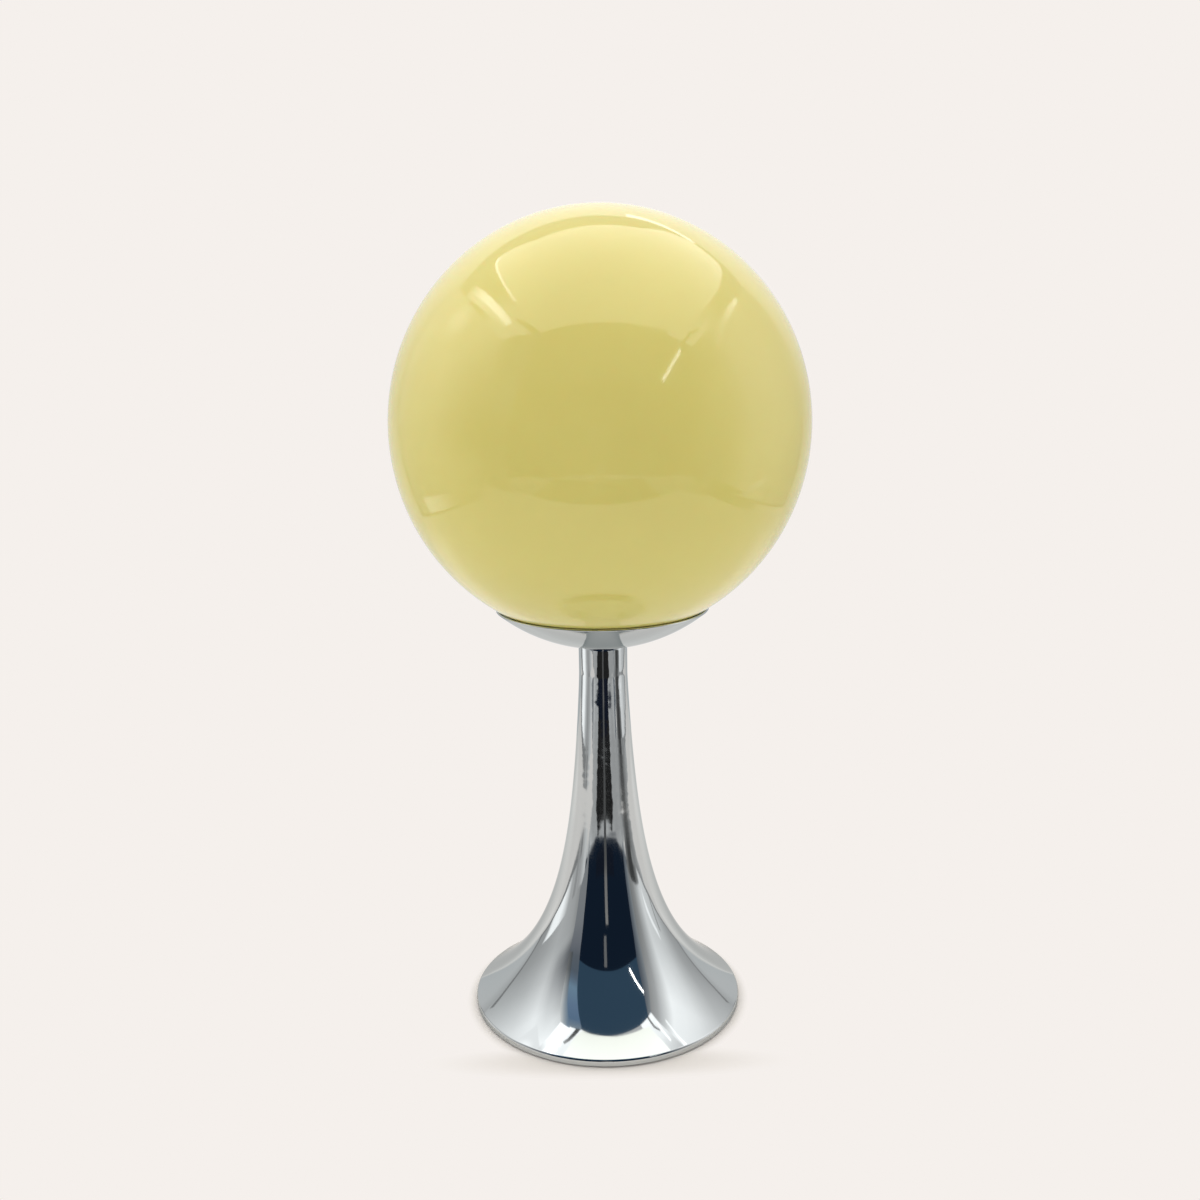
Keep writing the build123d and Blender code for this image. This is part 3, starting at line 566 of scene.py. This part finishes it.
for subpart in frame["record"]["subparts"]:
    wear(frame["nodes"][subpart["node"]], subpart["material_slot"])
for piece, slot in ((trumpet, "chrome"), (dish, "chrome"), (ball, "opal_glass")):
    wear(piece, slot)

# Stage: a pale floor, and a light tent that only the gloss sees, open in front to a dark room
PALE = (0.913, 0.871, 0.839)
NAVY = (0.008, 0.016, 0.032)
BLUE = (0.04, 0.08, 0.13)
TENT_LEFT, TENT_RIGHT = -0.60, 0.64
TENT_FRONT = -0.43
TENT_TOP = 0.88
LEFT_END, RIGHT_END = 0.42, 0.50
TABLE_FRONT = -0.51
ROOM_WALL = -2.1
NAVY_TOP = 1.37

# Planes of the cards along the left wall, the right wall, the back wall, the roof and the room, each
# nearer to the lamp than the one before it
LEFT_SHADOW, LEFT_CARDS, LEFT_BASE, LEFT_SEAM, LEFT_FOOT = -0.597, -0.596, -0.595, -0.594, -0.593
RIGHT_CARDS, RIGHT_BASE, RIGHT_FOLD = 0.636, 0.635, 0.632
BACK_LAMP = 0.44
UNDER_ROOF, UNDER_PANEL, UNDER_LAMPS = 0.876, 0.875, 0.874
BAR_PLANE, EDGE_PLANE, POST_PLANE = -2.0, -0.6, -0.598

# Heights of the cards that lie on the floor, from the lowest to the highest
ROOM_FLOOR, FLOOR_LIGHT_POOL, GREY_TABLE, RIGHT_FLOOR_SHADE, BLACK_TOP = 0.0005, 0.0008, 0.001, 0.0012, 0.0015


def plain_material(name):
    """Material with no nodes but its output."""
    material = bpy.data.materials.new(name)
    material.use_nodes = True
    tree = material.node_tree
    tree.nodes.remove(tree.nodes["Principled BSDF"])
    return material, tree, tree.nodes["Material Output"]


def mix_shaders(tree, output, share, first, second):
    """Puts two shaders on the surface, the second one by a share."""
    mixed = add(tree, "MixShader", {0: share, 1: first.outputs[0], 2: second.outputs[0]})
    tree.links.new(mixed.outputs["Shader"], output.inputs["Surface"])


def sheet_on_stage(name, corners, material):
    """Flat sheet between corners, in metres, with its material, linked into the scene."""
    mesh = bpy.data.meshes.new(name)
    mesh.from_pydata(corners, [], [tuple(range(len(corners)))])
    mesh.materials.append(material)
    sheet = bpy.data.objects.new(name, mesh)
    bpy.context.scene.collection.objects.link(sheet)
    return sheet


def gloss_card(name, corners, material):
    """Sheet on the stage that shows only in gloss."""
    sheet = sheet_on_stage(name, corners, material)
    sheet.visible_camera = False
    sheet.visible_diffuse = False
    sheet.visible_shadow = False


def glowing_card(name, corners, paint, strength):
    """Card that glows in the colour that a paint makes with its nodes."""
    material, tree, output = plain_material(name)
    glow = add(tree, "Emission", {"Color": paint(tree), "Strength": strength})
    tree.links.new(glow.outputs["Emission"], output.inputs["Surface"])
    gloss_card(name, corners, material)


def plain_card(name, corners, colour):
    """Card that glows evenly."""
    glowing_card(name, corners, lambda tree: (*colour, 1), 1.0)


def grey(tone):
    """Even grey of a tone."""
    return (tone, tone, tone)


def shade(axis, *stops):
    """Shade along an axis, from stops of a place in metres and a colour or the tone of a grey."""
    return axis, [(at, tone if isinstance(tone, tuple) else grey(tone)) for at, tone in stops]


def shading(tree, shades):
    """Product of shades, each spread from its first stop to its last."""
    axes = add(tree, "SeparateXYZ", {"Vector": find_place(tree)})
    colour = None
    for axis, stops in shades:
        start, end = stops[0][0], stops[-1][0]
        share = add(tree, "MapRange", {"Value": axes.outputs[axis], "From Min": start, "From Max": end})
        spread = [((at - start) / (end - start), tone) for at, tone in stops]
        shaded = tones(tree, share.outputs["Result"], spread)
        if colour is None:
            colour = shaded
        else:
            both = add(tree, "Mix", {0: 1.0, 6: colour, 7: shaded}, data_type="RGBA", blend_type="MULTIPLY")
            colour = both.outputs[2]
    return colour


def shaded_card(name, corners, *shades, strength=1.0):
    """Card whose glow is the product of shades."""
    glowing_card(name, corners, lambda tree: shading(tree, shades), strength)


def round_glow(name, corners, centre, reach, edge, strength):
    """Card that glows round a centre and falls to the share at its edge within a reach."""

    def paint(tree):
        share = fade(tree, distance(tree, find_place(tree), centre), 0.0, reach)
        return tones(tree, share, [(0.0, grey(1.0)), (1.0, grey(edge))])

    glowing_card(name, corners, paint, strength)


def veil(name, corners, colour, *shades):
    """Card of one glow that covers what is behind it by the product of shades, and lets the rest through."""
    material, tree, output = plain_material(name)
    clear = add(tree, "BsdfTransparent", {})
    glow = add(tree, "Emission", {"Color": (*colour, 1), "Strength": 1.0})
    mix_shaders(tree, output, shading(tree, shades), clear, glow)
    gloss_card(name, corners, material)


def rectangle(low, high, bottom, top):
    """Outline of a rectangle between two pairs of sides."""
    return [(low, bottom), (high, bottom), (high, top), (low, top)]


def side(x, outline):
    """Corners of an upright sheet at one x, from its outline of (y, z)."""
    return [(x, y, z) for y, z in outline]


def facing(y, outline):
    """Corners of an upright sheet at one y, from its outline of (x, z)."""
    return [(x, y, z) for x, z in outline]


def level(z, outline):
    """Corners of a level sheet at one z, from its outline of (x, y)."""
    return [(x, y, z) for x, y in outline]


# Left wall: a lamp's glow near its top, a bright skirt, a dark base and seam and a pale foot along the
# floor, a dark corner at the back, and a shadow and a bluish curtain with a pale edge towards the front
shaded_card(
    "tent_left",
    side(TENT_LEFT, rectangle(TENT_FRONT, LEFT_END, 0, TENT_TOP)),
    shade(
        "Y", (TENT_FRONT, 0.25), (-0.35, 0.6), (-0.23, 0.78), (-0.03, 0.92), (0.06, 0.86), (0.13, 0.8),
        (0.26, 0.74), (LEFT_END, 0.72),
    ),
    shade(
        "Z", (0.0, 0.42), (0.15, 0.48), (0.3, 0.63), (0.41, 0.8), (0.55, 1.0), (0.75, 1.08),
        (TENT_TOP, 1.2),
    ),
    strength=1.5,
)
round_glow(
    "wall_glow",
    side(LEFT_CARDS, rectangle(-0.08, 0.30, 0.62, 0.875)),
    centre=(LEFT_CARDS, 0.10, 0.77),
    reach=0.15,
    edge=0.56,
    strength=2.3,
)
shaded_card(
    "left_skirt",
    side(LEFT_CARDS, rectangle(-0.06, 0.26, 0.0, 0.075)),
    shade("Y", (-0.06, 0.42), (0.0, 0.7), (0.08, 1.0), (0.21, 1.0), (0.26, 0.55)),
    strength=1.45,
)
plain_card("left_base", side(LEFT_BASE, rectangle(-0.3, LEFT_END, 0.0, 0.012)), grey(0.28))
plain_card("left_seam", side(LEFT_SEAM, rectangle(-0.19, -0.13, 0.0, 0.06)), grey(0.42))
shaded_card(
    "left_foot",
    side(LEFT_FOOT, rectangle(TENT_FRONT, -0.24, 0.0, 0.055)),
    shade("Y", (TENT_FRONT, 0.8), (-0.36, 0.78), (-0.30, 0.62), (-0.24, 0.5)),
)
plain_card("left_corner", side(LEFT_CARDS, rectangle(0.38, 0.405, 0.0, 0.30)), grey(0.3))
veil(
    "wall_shadow",
    side(LEFT_SHADOW, rectangle(TENT_FRONT, -0.05, 0.17, 0.75)),
    (0.09, 0.10, 0.12),
    shade("Y", (TENT_FRONT, 1.0), (-0.30, 0.85), (-0.23, 0.65), (-0.16, 0.45), (-0.10, 0.15), (-0.05, 0.0)),
    shade(
        "Z", (0.17, 0.0), (0.19, 0.15), (0.22, 0.6), (0.25, 0.85), (0.30, 0.9), (0.35, 0.82), (0.44, 0.6),
        (0.58, 0.33), (0.75, 0.0),
    ),
)
shaded_card(
    "curtain",
    [
        (-0.44, TENT_FRONT, 0.025), (TENT_LEFT, -0.34, 0.06), (TENT_LEFT, -0.34, TENT_TOP),
        (-0.31, TENT_FRONT, TENT_TOP),
    ],
    shade(
        "Z", (0.0, (0.3, 0.31, 0.32)), (0.15, (0.28, 0.29, 0.31)), (0.22, (0.22, 0.23, 0.26)),
        (0.28, (0.15, 0.17, 0.20)), (0.36, (0.13, 0.16, 0.20)), (0.40, (0.15, 0.20, 0.27)),
        (0.46, (0.22, 0.34, 0.46)), (0.60, (0.18, 0.27, 0.41)), (0.75, (0.15, 0.24, 0.37)),
        (TENT_TOP, (0.3, 0.36, 0.42)),
    ),
)
shaded_card(
    "curtain_edge",
    [(-0.53, -0.376, 0.26), (-0.598, -0.338, 0.26), (-0.598, -0.338, TENT_TOP), (-0.45, -0.376, TENT_TOP)],
    shade("X", (TENT_LEFT, 1.0), (-0.53, (0.5, 0.56, 0.62)), (-0.47, (0.24, 0.34, 0.46))),
    shade("Z", (0.26, 0.2), (0.36, 0.25), (0.42, 0.42), (0.47, 0.6), (0.60, 0.85), (TENT_TOP, 0.95)),
)

# Right wall: a pale fold, painted shade along its foot and on the floor beside it, a dark seam and a
# base along the floor, a dark curtain in front, a dark corner at the back and a bright fold near its top
shaded_card(
    "tent_right",
    side(TENT_RIGHT, rectangle(TENT_FRONT, RIGHT_END, 0, TENT_TOP)),
    shade(
        "Y", (TENT_FRONT, 0.28), (-0.31, 0.4), (-0.2, 0.7), (-0.12, 1.0), (0.0, 0.95), (0.1, 0.86),
        (0.2, 0.7), (0.3, 0.57), (RIGHT_END, 0.5),
    ),
    shade("Z", (0.0, 0.68), (0.15, 0.7), (0.5, 1.0), (TENT_TOP, 1.0)),
    strength=1.45,
)
plain_card(
    "pale_fold",
    side(RIGHT_CARDS, [(-0.07, 0.03), (0.06, 0.09), (0.06, 0.125), (-0.07, 0.065)]),
    grey(1.35),
)
# Painted shade along the foot of the right wall, darkest in the middle of its length
shaded_card(
    "right_foot_shade",
    side(
        RIGHT_CARDS,
        [(TENT_FRONT, 0.0), (-0.10, 0.0), (-0.10, 0.03), (-0.21, 0.045), (-0.32, 0.045), (TENT_FRONT, 0.03)],
    ),
    shade(
        "Y", (TENT_FRONT, 0.25), (-0.39, 0.2), (-0.32, 0.07), (-0.22, 0.07), (-0.165, 0.2), (-0.13, 0.32),
        (-0.10, 0.6),
    ),
)
# Painted shade on the floor beside the right wall, darkest where the shade along the wall's foot is darkest
shaded_card(
    "right_floor_shade",
    level(
        RIGHT_FLOOR_SHADE,
        [
            (0.44, TABLE_FRONT), (TENT_RIGHT, TABLE_FRONT), (TENT_RIGHT, 0.06), (0.575, 0.06), (0.545, -0.05),
            (0.54, -0.33), (0.49, -0.40),
        ],
    ),
    shade(
        "Y", (TABLE_FRONT, 0.46), (-0.44, 0.47), (-0.36, 0.25), (-0.30, 0.12), (-0.20, 0.13), (-0.14, 0.28),
        (-0.07, 0.38), (0.06, 0.6),
    ),
)
shaded_card(
    "right_curtain",
    facing(
        TENT_FRONT,
        [
            (0.47, 0.025), (0.465, 0.2), (0.445, 0.32), (0.47, 0.45), (0.505, 0.63), (0.555, 0.86),
            (TENT_RIGHT, 0.86), (TENT_RIGHT, 0.025),
        ],
    ),
    shade("X", (0.44, (0.08, 0.10, 0.13)), (0.52, (0.17, 0.19, 0.22)), (TENT_RIGHT, (0.33, 0.35, 0.37))),
)
plain_card("back_seam", side(RIGHT_CARDS, rectangle(0.11, 0.13, 0.0, 0.08)), grey(0.4))
plain_card("right_corner", side(RIGHT_CARDS, rectangle(0.475, 0.495, 0.0, 0.30)), grey(0.3))
plain_card("right_base", side(RIGHT_BASE, rectangle(-0.2, 0.47, 0.0, 0.010)), grey(0.35))
shaded_card(
    "right_fold",
    side(
        RIGHT_FOLD,
        [
            (0.26, 0.876), (0.08, 0.875), (-0.09, 0.832), (-0.211, 0.765), (-0.211, 0.735), (-0.09, 0.795),
            (0.08, 0.83), (0.25, 0.848),
        ],
    ),
    shade("Y", (-0.211, 0.5), (-0.05, 0.58), (0.08, 0.85), (0.2, 1.0), (0.26, 0.8)),
    strength=3.2,
)

# Back wall, a painted pool of light on the floor before it, and a lamp on it
shaded_card(
    "tent_back",
    [
        (TENT_LEFT, LEFT_END, 0), (TENT_RIGHT, RIGHT_END, 0), (TENT_RIGHT, RIGHT_END, TENT_TOP),
        (TENT_LEFT, LEFT_END, TENT_TOP),
    ],
    shade("X", (TENT_LEFT, 0.7), (-0.5, 0.85), (0.0, 1.0), (0.54, 0.85), (TENT_RIGHT, 0.7)),
    shade("Z", (0.0, 0.6), (0.35, 0.55), (0.7, 0.9), (TENT_TOP, 1.0)),
    strength=1.5,
)
# Painted pool of light on the floor behind the lamp, brighter than the floor and fading at its sides
veil(
    "floor_light_pool",
    level(FLOOR_LIGHT_POOL, rectangle(-0.5, 0.5, 0.12, 0.62)),
    (1.12, 1.07, 1.03),
    shade("X", (-0.5, 0.0), (-0.4, 1.0), (0.4, 1.0), (0.5, 0.0)),
    shade("Y", (0.12, 0.0), (0.23, 1.0), (0.29, 0.95), (0.35, 0.6), (0.45, 0.7), (0.62, 0.0)),
)
plain_card(
    "back_lamp",
    facing(BACK_LAMP, [(0.07, 0.785), (0.31, 0.845), (0.31, 0.876), (0.08, 0.84)]),
    grey(3.2),
)

# Roof: bright at its front corners, with the lit panel, its bright edge, dark frame lines, a pale fold on
# the right and a lamp strip in its glow on the left
plain_card("tent_roof", level(TENT_TOP, rectangle(TENT_LEFT, TENT_RIGHT, TENT_FRONT, RIGHT_END)), grey(0.65))
shaded_card(
    "roof_left",
    level(UNDER_ROOF, rectangle(TENT_LEFT, -0.25, TENT_FRONT, 0.0)),
    shade("X", (TENT_LEFT, 1.0), (-0.47, 1.0), (-0.40, 0.85), (-0.25, 0.85)),
    shade("Y", (TENT_FRONT, 1.95), (-0.15, 1.75), (0.0, 0.65)),
)
shaded_card(
    "roof_right",
    level(UNDER_ROOF, rectangle(0.4, TENT_RIGHT, TENT_FRONT, 0.05)),
    shade("Y", (TENT_FRONT, 1.7), (-0.2, 1.4), (0.05, 0.65)),
)
shaded_card(
    "roof_panel",
    level(
        UNDER_PANEL,
        [
            (-0.293, TENT_FRONT), (-0.346, -0.355), (-0.373, -0.138), (-0.381, 0.026), (-0.378, 0.181),
            (-0.368, 0.258), (-0.342, 0.30), (-0.296, 0.292), (-0.188, 0.25), (-0.1, 0.265),
            (0.081, 0.288), (0.134, 0.306), (0.208, 0.39), (0.318, 0.44), (0.45, 0.43),
            (0.483, 0.374), (0.517, 0.168), (0.52, -0.043), (0.505, -0.226), (0.488, -0.361),
            (0.407, -0.39), (0.197, -0.411), (0.015, -0.424), (-0.137, -0.427),
        ],
    ),
    shade("Y", (TENT_FRONT, (0.66, 0.66, 0.60)), (0.33, (1.0, 0.99, 0.97))),
    strength=2.3,
)
plain_card(
    "panel_edge",
    level(
        UNDER_LAMPS,
        [
            (-0.373, -0.138), (-0.381, 0.026), (-0.378, 0.181), (-0.368, 0.258), (-0.342, 0.30),
            (-0.333, 0.288), (-0.356, 0.25), (-0.366, 0.181), (-0.369, 0.026), (-0.361, -0.138),
        ],
    ),
    grey(4.4),
)
shaded_card(
    "left_frame",
    level(
        UNDER_LAMPS,
        [
            (-0.375, TENT_FRONT), (-0.325, TENT_FRONT), (-0.352, -0.354), (-0.375, -0.299), (-0.405, -0.255),
            (-0.43, -0.262), (-0.405, -0.305), (-0.39, -0.36),
        ],
    ),
    shade("Y", (TENT_FRONT, 0.1), (-0.35, 0.14), (-0.30, 0.3), (-0.255, 0.6)),
)
shaded_card(
    "right_frame",
    level(
        UNDER_LAMPS,
        [
            (0.532, TENT_FRONT), (0.558, TENT_FRONT), (0.556, -0.325), (0.582, -0.26), (0.565, -0.25),
            (0.532, -0.32),
        ],
    ),
    shade("Y", (TENT_FRONT, 0.1), (-0.32, 0.2), (-0.25, 0.5)),
)
plain_card(
    "roof_fold",
    level(
        UNDER_LAMPS,
        [(0.57, -0.13), (0.592, -0.13), (0.605, -0.24), (0.63, -0.33), (0.608, -0.335), (0.58, -0.24)],
    ),
    grey(1.9),
)
shaded_card(
    "strip_left",
    level(
        UNDER_LAMPS,
        [
            (-0.495, -0.255), (-0.445, -0.255), (-0.455, -0.094), (-0.469, 0.044), (-0.505, 0.25),
            (-0.555, 0.25), (-0.519, 0.044), (-0.505, -0.094),
        ],
    ),
    shade("Y", (-0.255, 0.85), (-0.15, 1.0), (0.05, 0.8), (0.14, 0.5), (0.25, 0.15)),
    strength=6.0,
)
shaded_card(
    "strip_glow",
    level(
        UNDER_PANEL,
        [
            (-0.53, -0.24), (-0.46, -0.255), (-0.47, -0.094), (-0.48, 0.044), (-0.51, 0.25), (-0.598, 0.25),
            (-0.56, 0.044), (-0.545, -0.094),
        ],
    ),
    shade("Y", (-0.255, 0.9), (0.05, 1.0), (0.25, 0.5)),
    strength=2.6,
)

# Dark room in front of the tent: a grey table with a black top, the navy floor and walls, a post and a
# bright bar
plain_card("room_floor", level(ROOM_FLOOR, rectangle(-4.0, 4.0, ROOM_WALL, TABLE_FRONT)), NAVY)
shaded_card(
    "grey_table",
    level(
        GREY_TABLE,
        [
            (-0.8, TABLE_FRONT), (-0.66, -0.68), (-0.52, -0.78), (-0.421, -0.796), (-0.261, -0.911),
            (-0.073, -0.968), (0.026, -0.972), (0.124, -0.96), (0.307, -0.887), (0.457, -0.775),
            (0.6, -0.75), (0.72, -0.62), (0.8, TABLE_FRONT),
        ],
    ),
    shade("X", (-0.62, 0.75), (-0.5, 0.5), (-0.36, 0.46), (0.0, 0.48), (0.3, 0.45), (0.5, 0.45), (0.62, 0.6)),
    shade("Y", (-0.98, 1.35), (-0.8, 1.3), (-0.68, 1.05), (TABLE_FRONT, 1.0)),
)
plain_card("black_top", level(BLACK_TOP, rectangle(-0.35, 0.31, -0.835, TABLE_FRONT)), grey(0.02))
plain_card("black_edge", facing(EDGE_PLANE, rectangle(-0.28, 0.215, 0.045, 0.075)), (0.009, 0.013, 0.024))
plain_card("room_wall", facing(ROOM_WALL, rectangle(-6.0, 6.0, -0.2, NAVY_TOP)), NAVY)
plain_card("room_upper_wall", facing(ROOM_WALL, rectangle(-6.0, 6.0, NAVY_TOP, 7.0)), BLUE)
shaded_card(
    "post",
    facing(POST_PLANE, [(-0.055, 0.0), (0.02, 0.0), (0.035, 0.19), (-0.015, 0.19)]),
    shade("Z", (0.0, 0.10), (0.06, 0.12), (0.08, (0.24, 0.23, 0.225)), (0.19, (0.32, 0.31, 0.3))),
)
plain_card("upper_post", facing(POST_PLANE, rectangle(-0.05, -0.005, 0.225, 0.375)), (0.19, 0.19, 0.195))
plain_card(
    "bright_bar",
    facing(BAR_PLANE, [(1.33, 1.46), (1.39, 1.42), (2.45, 2.68), (2.39, 2.74)]),
    grey(7.0),
)
plain_card(
    "upper_bar",
    facing(BAR_PLANE, [(2.39, 2.74), (2.45, 2.68), (3.0, 4.40), (2.95, 4.43)]),
    grey(1.3),
)

# Floor and its shadow, in metres: where the shadow ends round the foot for the camera and in gloss, and
# the oval in front of the foot that keeps more of it. Then the soft fill of the world
FLOOR_MATT = (0.87, 0.885, 0.845, 1)
FLOOR_HALF = 20
SHADOW_SEEN = (0.0715, 0.078)
SHADOW_MIRRORED = (0.077, 0.09)
SHADOW_FRONT = 0.0665
SHADOW_REACH = 0.096
SHADOW_DEPTH = 0.0155
OVAL_FADE = (0.35, 1.0)
FILL, FILL_STRENGTH = (1.0, 0.99, 0.97, 1), 0.76


def seen_directly(tree):
    """1 on rays of the camera, of gloss and through glass, 0 on the rest."""
    path = add(tree, "LightPath", {})
    seen = maths(tree, "MAXIMUM", path.outputs["Is Camera Ray"], path.outputs["Is Glossy Ray"])
    return maths(tree, "MAXIMUM", seen, path.outputs["Is Transmission Ray"])


def make_floor():
    """Pale floor that keeps the shadow close round the foot, with a longer touch of it in front, and is the
    plain backdrop colour elsewhere. Gloss sees the shadow a little further out."""
    material, tree, output = plain_material("floor")
    place = find_place(tree)
    away = length(tree, place)
    oval = add(
        tree,
        "Mapping",
        {
            "Vector": place,
            "Location": (0, SHADOW_FRONT / SHADOW_DEPTH, 0),
            "Scale": (1 / SHADOW_REACH, 1 / SHADOW_DEPTH, 1),
        },
    )
    oval_away = length(tree, oval.outputs["Vector"])
    path = add(tree, "LightPath", {})
    seen = maths(tree, "MINIMUM", fade(tree, away, *SHADOW_SEEN), fade(tree, oval_away, *OVAL_FADE))
    seen = maths(tree, "MULTIPLY", seen, path.outputs["Is Camera Ray"])
    mirrored = maths(tree, "MAXIMUM", path.outputs["Is Glossy Ray"], path.outputs["Is Transmission Ray"])
    mirrored = maths(tree, "MULTIPLY", mirrored, fade(tree, away, *SHADOW_MIRRORED))
    tone = add(tree, "Mix", {0: seen_directly(tree), 6: FLOOR_MATT, 7: (*PALE, 1)}, data_type="RGBA")
    matt = add(tree, "BsdfDiffuse", {"Color": tone.outputs[2]})
    glow = add(tree, "Emission", {"Color": (*PALE, 1), "Strength": 1.0})
    mix_shaders(tree, output, maths(tree, "MAXIMUM", seen, mirrored), matt, glow)
    sheet_on_stage("floor", level(0, rectangle(-FLOOR_HALF, FLOOR_HALF, -FLOOR_HALF, FLOOR_HALF)), material)


def make_world():
    """World of the backdrop's colour to the camera, gloss and glass, and a soft white fill for the rest."""
    world = bpy.data.worlds.new("studio")
    world.use_nodes = True
    tree = world.node_tree
    tree.nodes.remove(tree.nodes["Background"])
    backdrop = add(tree, "Background", {"Color": (*PALE, 1), "Strength": 1.0})
    fill = add(tree, "Background", {"Color": FILL, "Strength": FILL_STRENGTH})
    mix_shaders(tree, tree.nodes["World Output"], seen_directly(tree), fill, backdrop)
    bpy.context.scene.world = world


def make_lamp(name, size, watts, place, turn):
    """Soft square lamp that doesn't show in gloss, turned about Y from looking straight down."""
    light = bpy.data.lights.new(name, "AREA")
    light.size = size
    light.energy = watts
    lamp = bpy.data.objects.new(name, light)
    bpy.context.scene.collection.objects.link(lamp)
    lamp.location = place
    lamp.rotation_euler = (0, turn, 0)
    lamp.visible_glossy = False


make_floor()
make_world()
make_lamp("overhead", size=0.8, watts=3.5, place=(0, 0, 1.2), turn=0)
make_lamp("left_side", size=0.7, watts=1.4, place=(-0.9, 0, 0.5), turn=np.radians(-85))
make_lamp("right_side", size=0.7, watts=0.7, place=(0.9, 0, 0.5), turn=np.radians(85))

# Camera at the photograph's height, distance and tilt, shifted as the photograph is cropped
CAMERA_PLACE = (0.0, -0.56299, 0.34091)
CAMERA_SENSOR = 36.0
CAMERA_LENS = 34.43
CAMERA_SHIFT = 0.0833
CAMERA_NEAR = 0.01
CAMERA_PITCH, CAMERA_YAW, CAMERA_ROLL = np.radians([73.026, 0.189, -0.836])
lens = bpy.data.cameras.new("camera")
lens.sensor_width = CAMERA_SENSOR
lens.lens = CAMERA_LENS
lens.shift_y = CAMERA_SHIFT
lens.clip_start = CAMERA_NEAR
camera = bpy.data.objects.new("camera", lens)
bpy.context.scene.collection.objects.link(camera)
camera.matrix_world = (
    Matrix.Translation(CAMERA_PLACE)
    @ Matrix.Rotation(CAMERA_YAW, 4, "Z")
    @ Matrix.Rotation(CAMERA_PITCH, 4, "X")
    @ Matrix.Rotation(CAMERA_ROLL, 4, "Z")
)
bpy.context.scene.camera = camera
bpy.context.scene.view_settings.view_transform = "Standard"
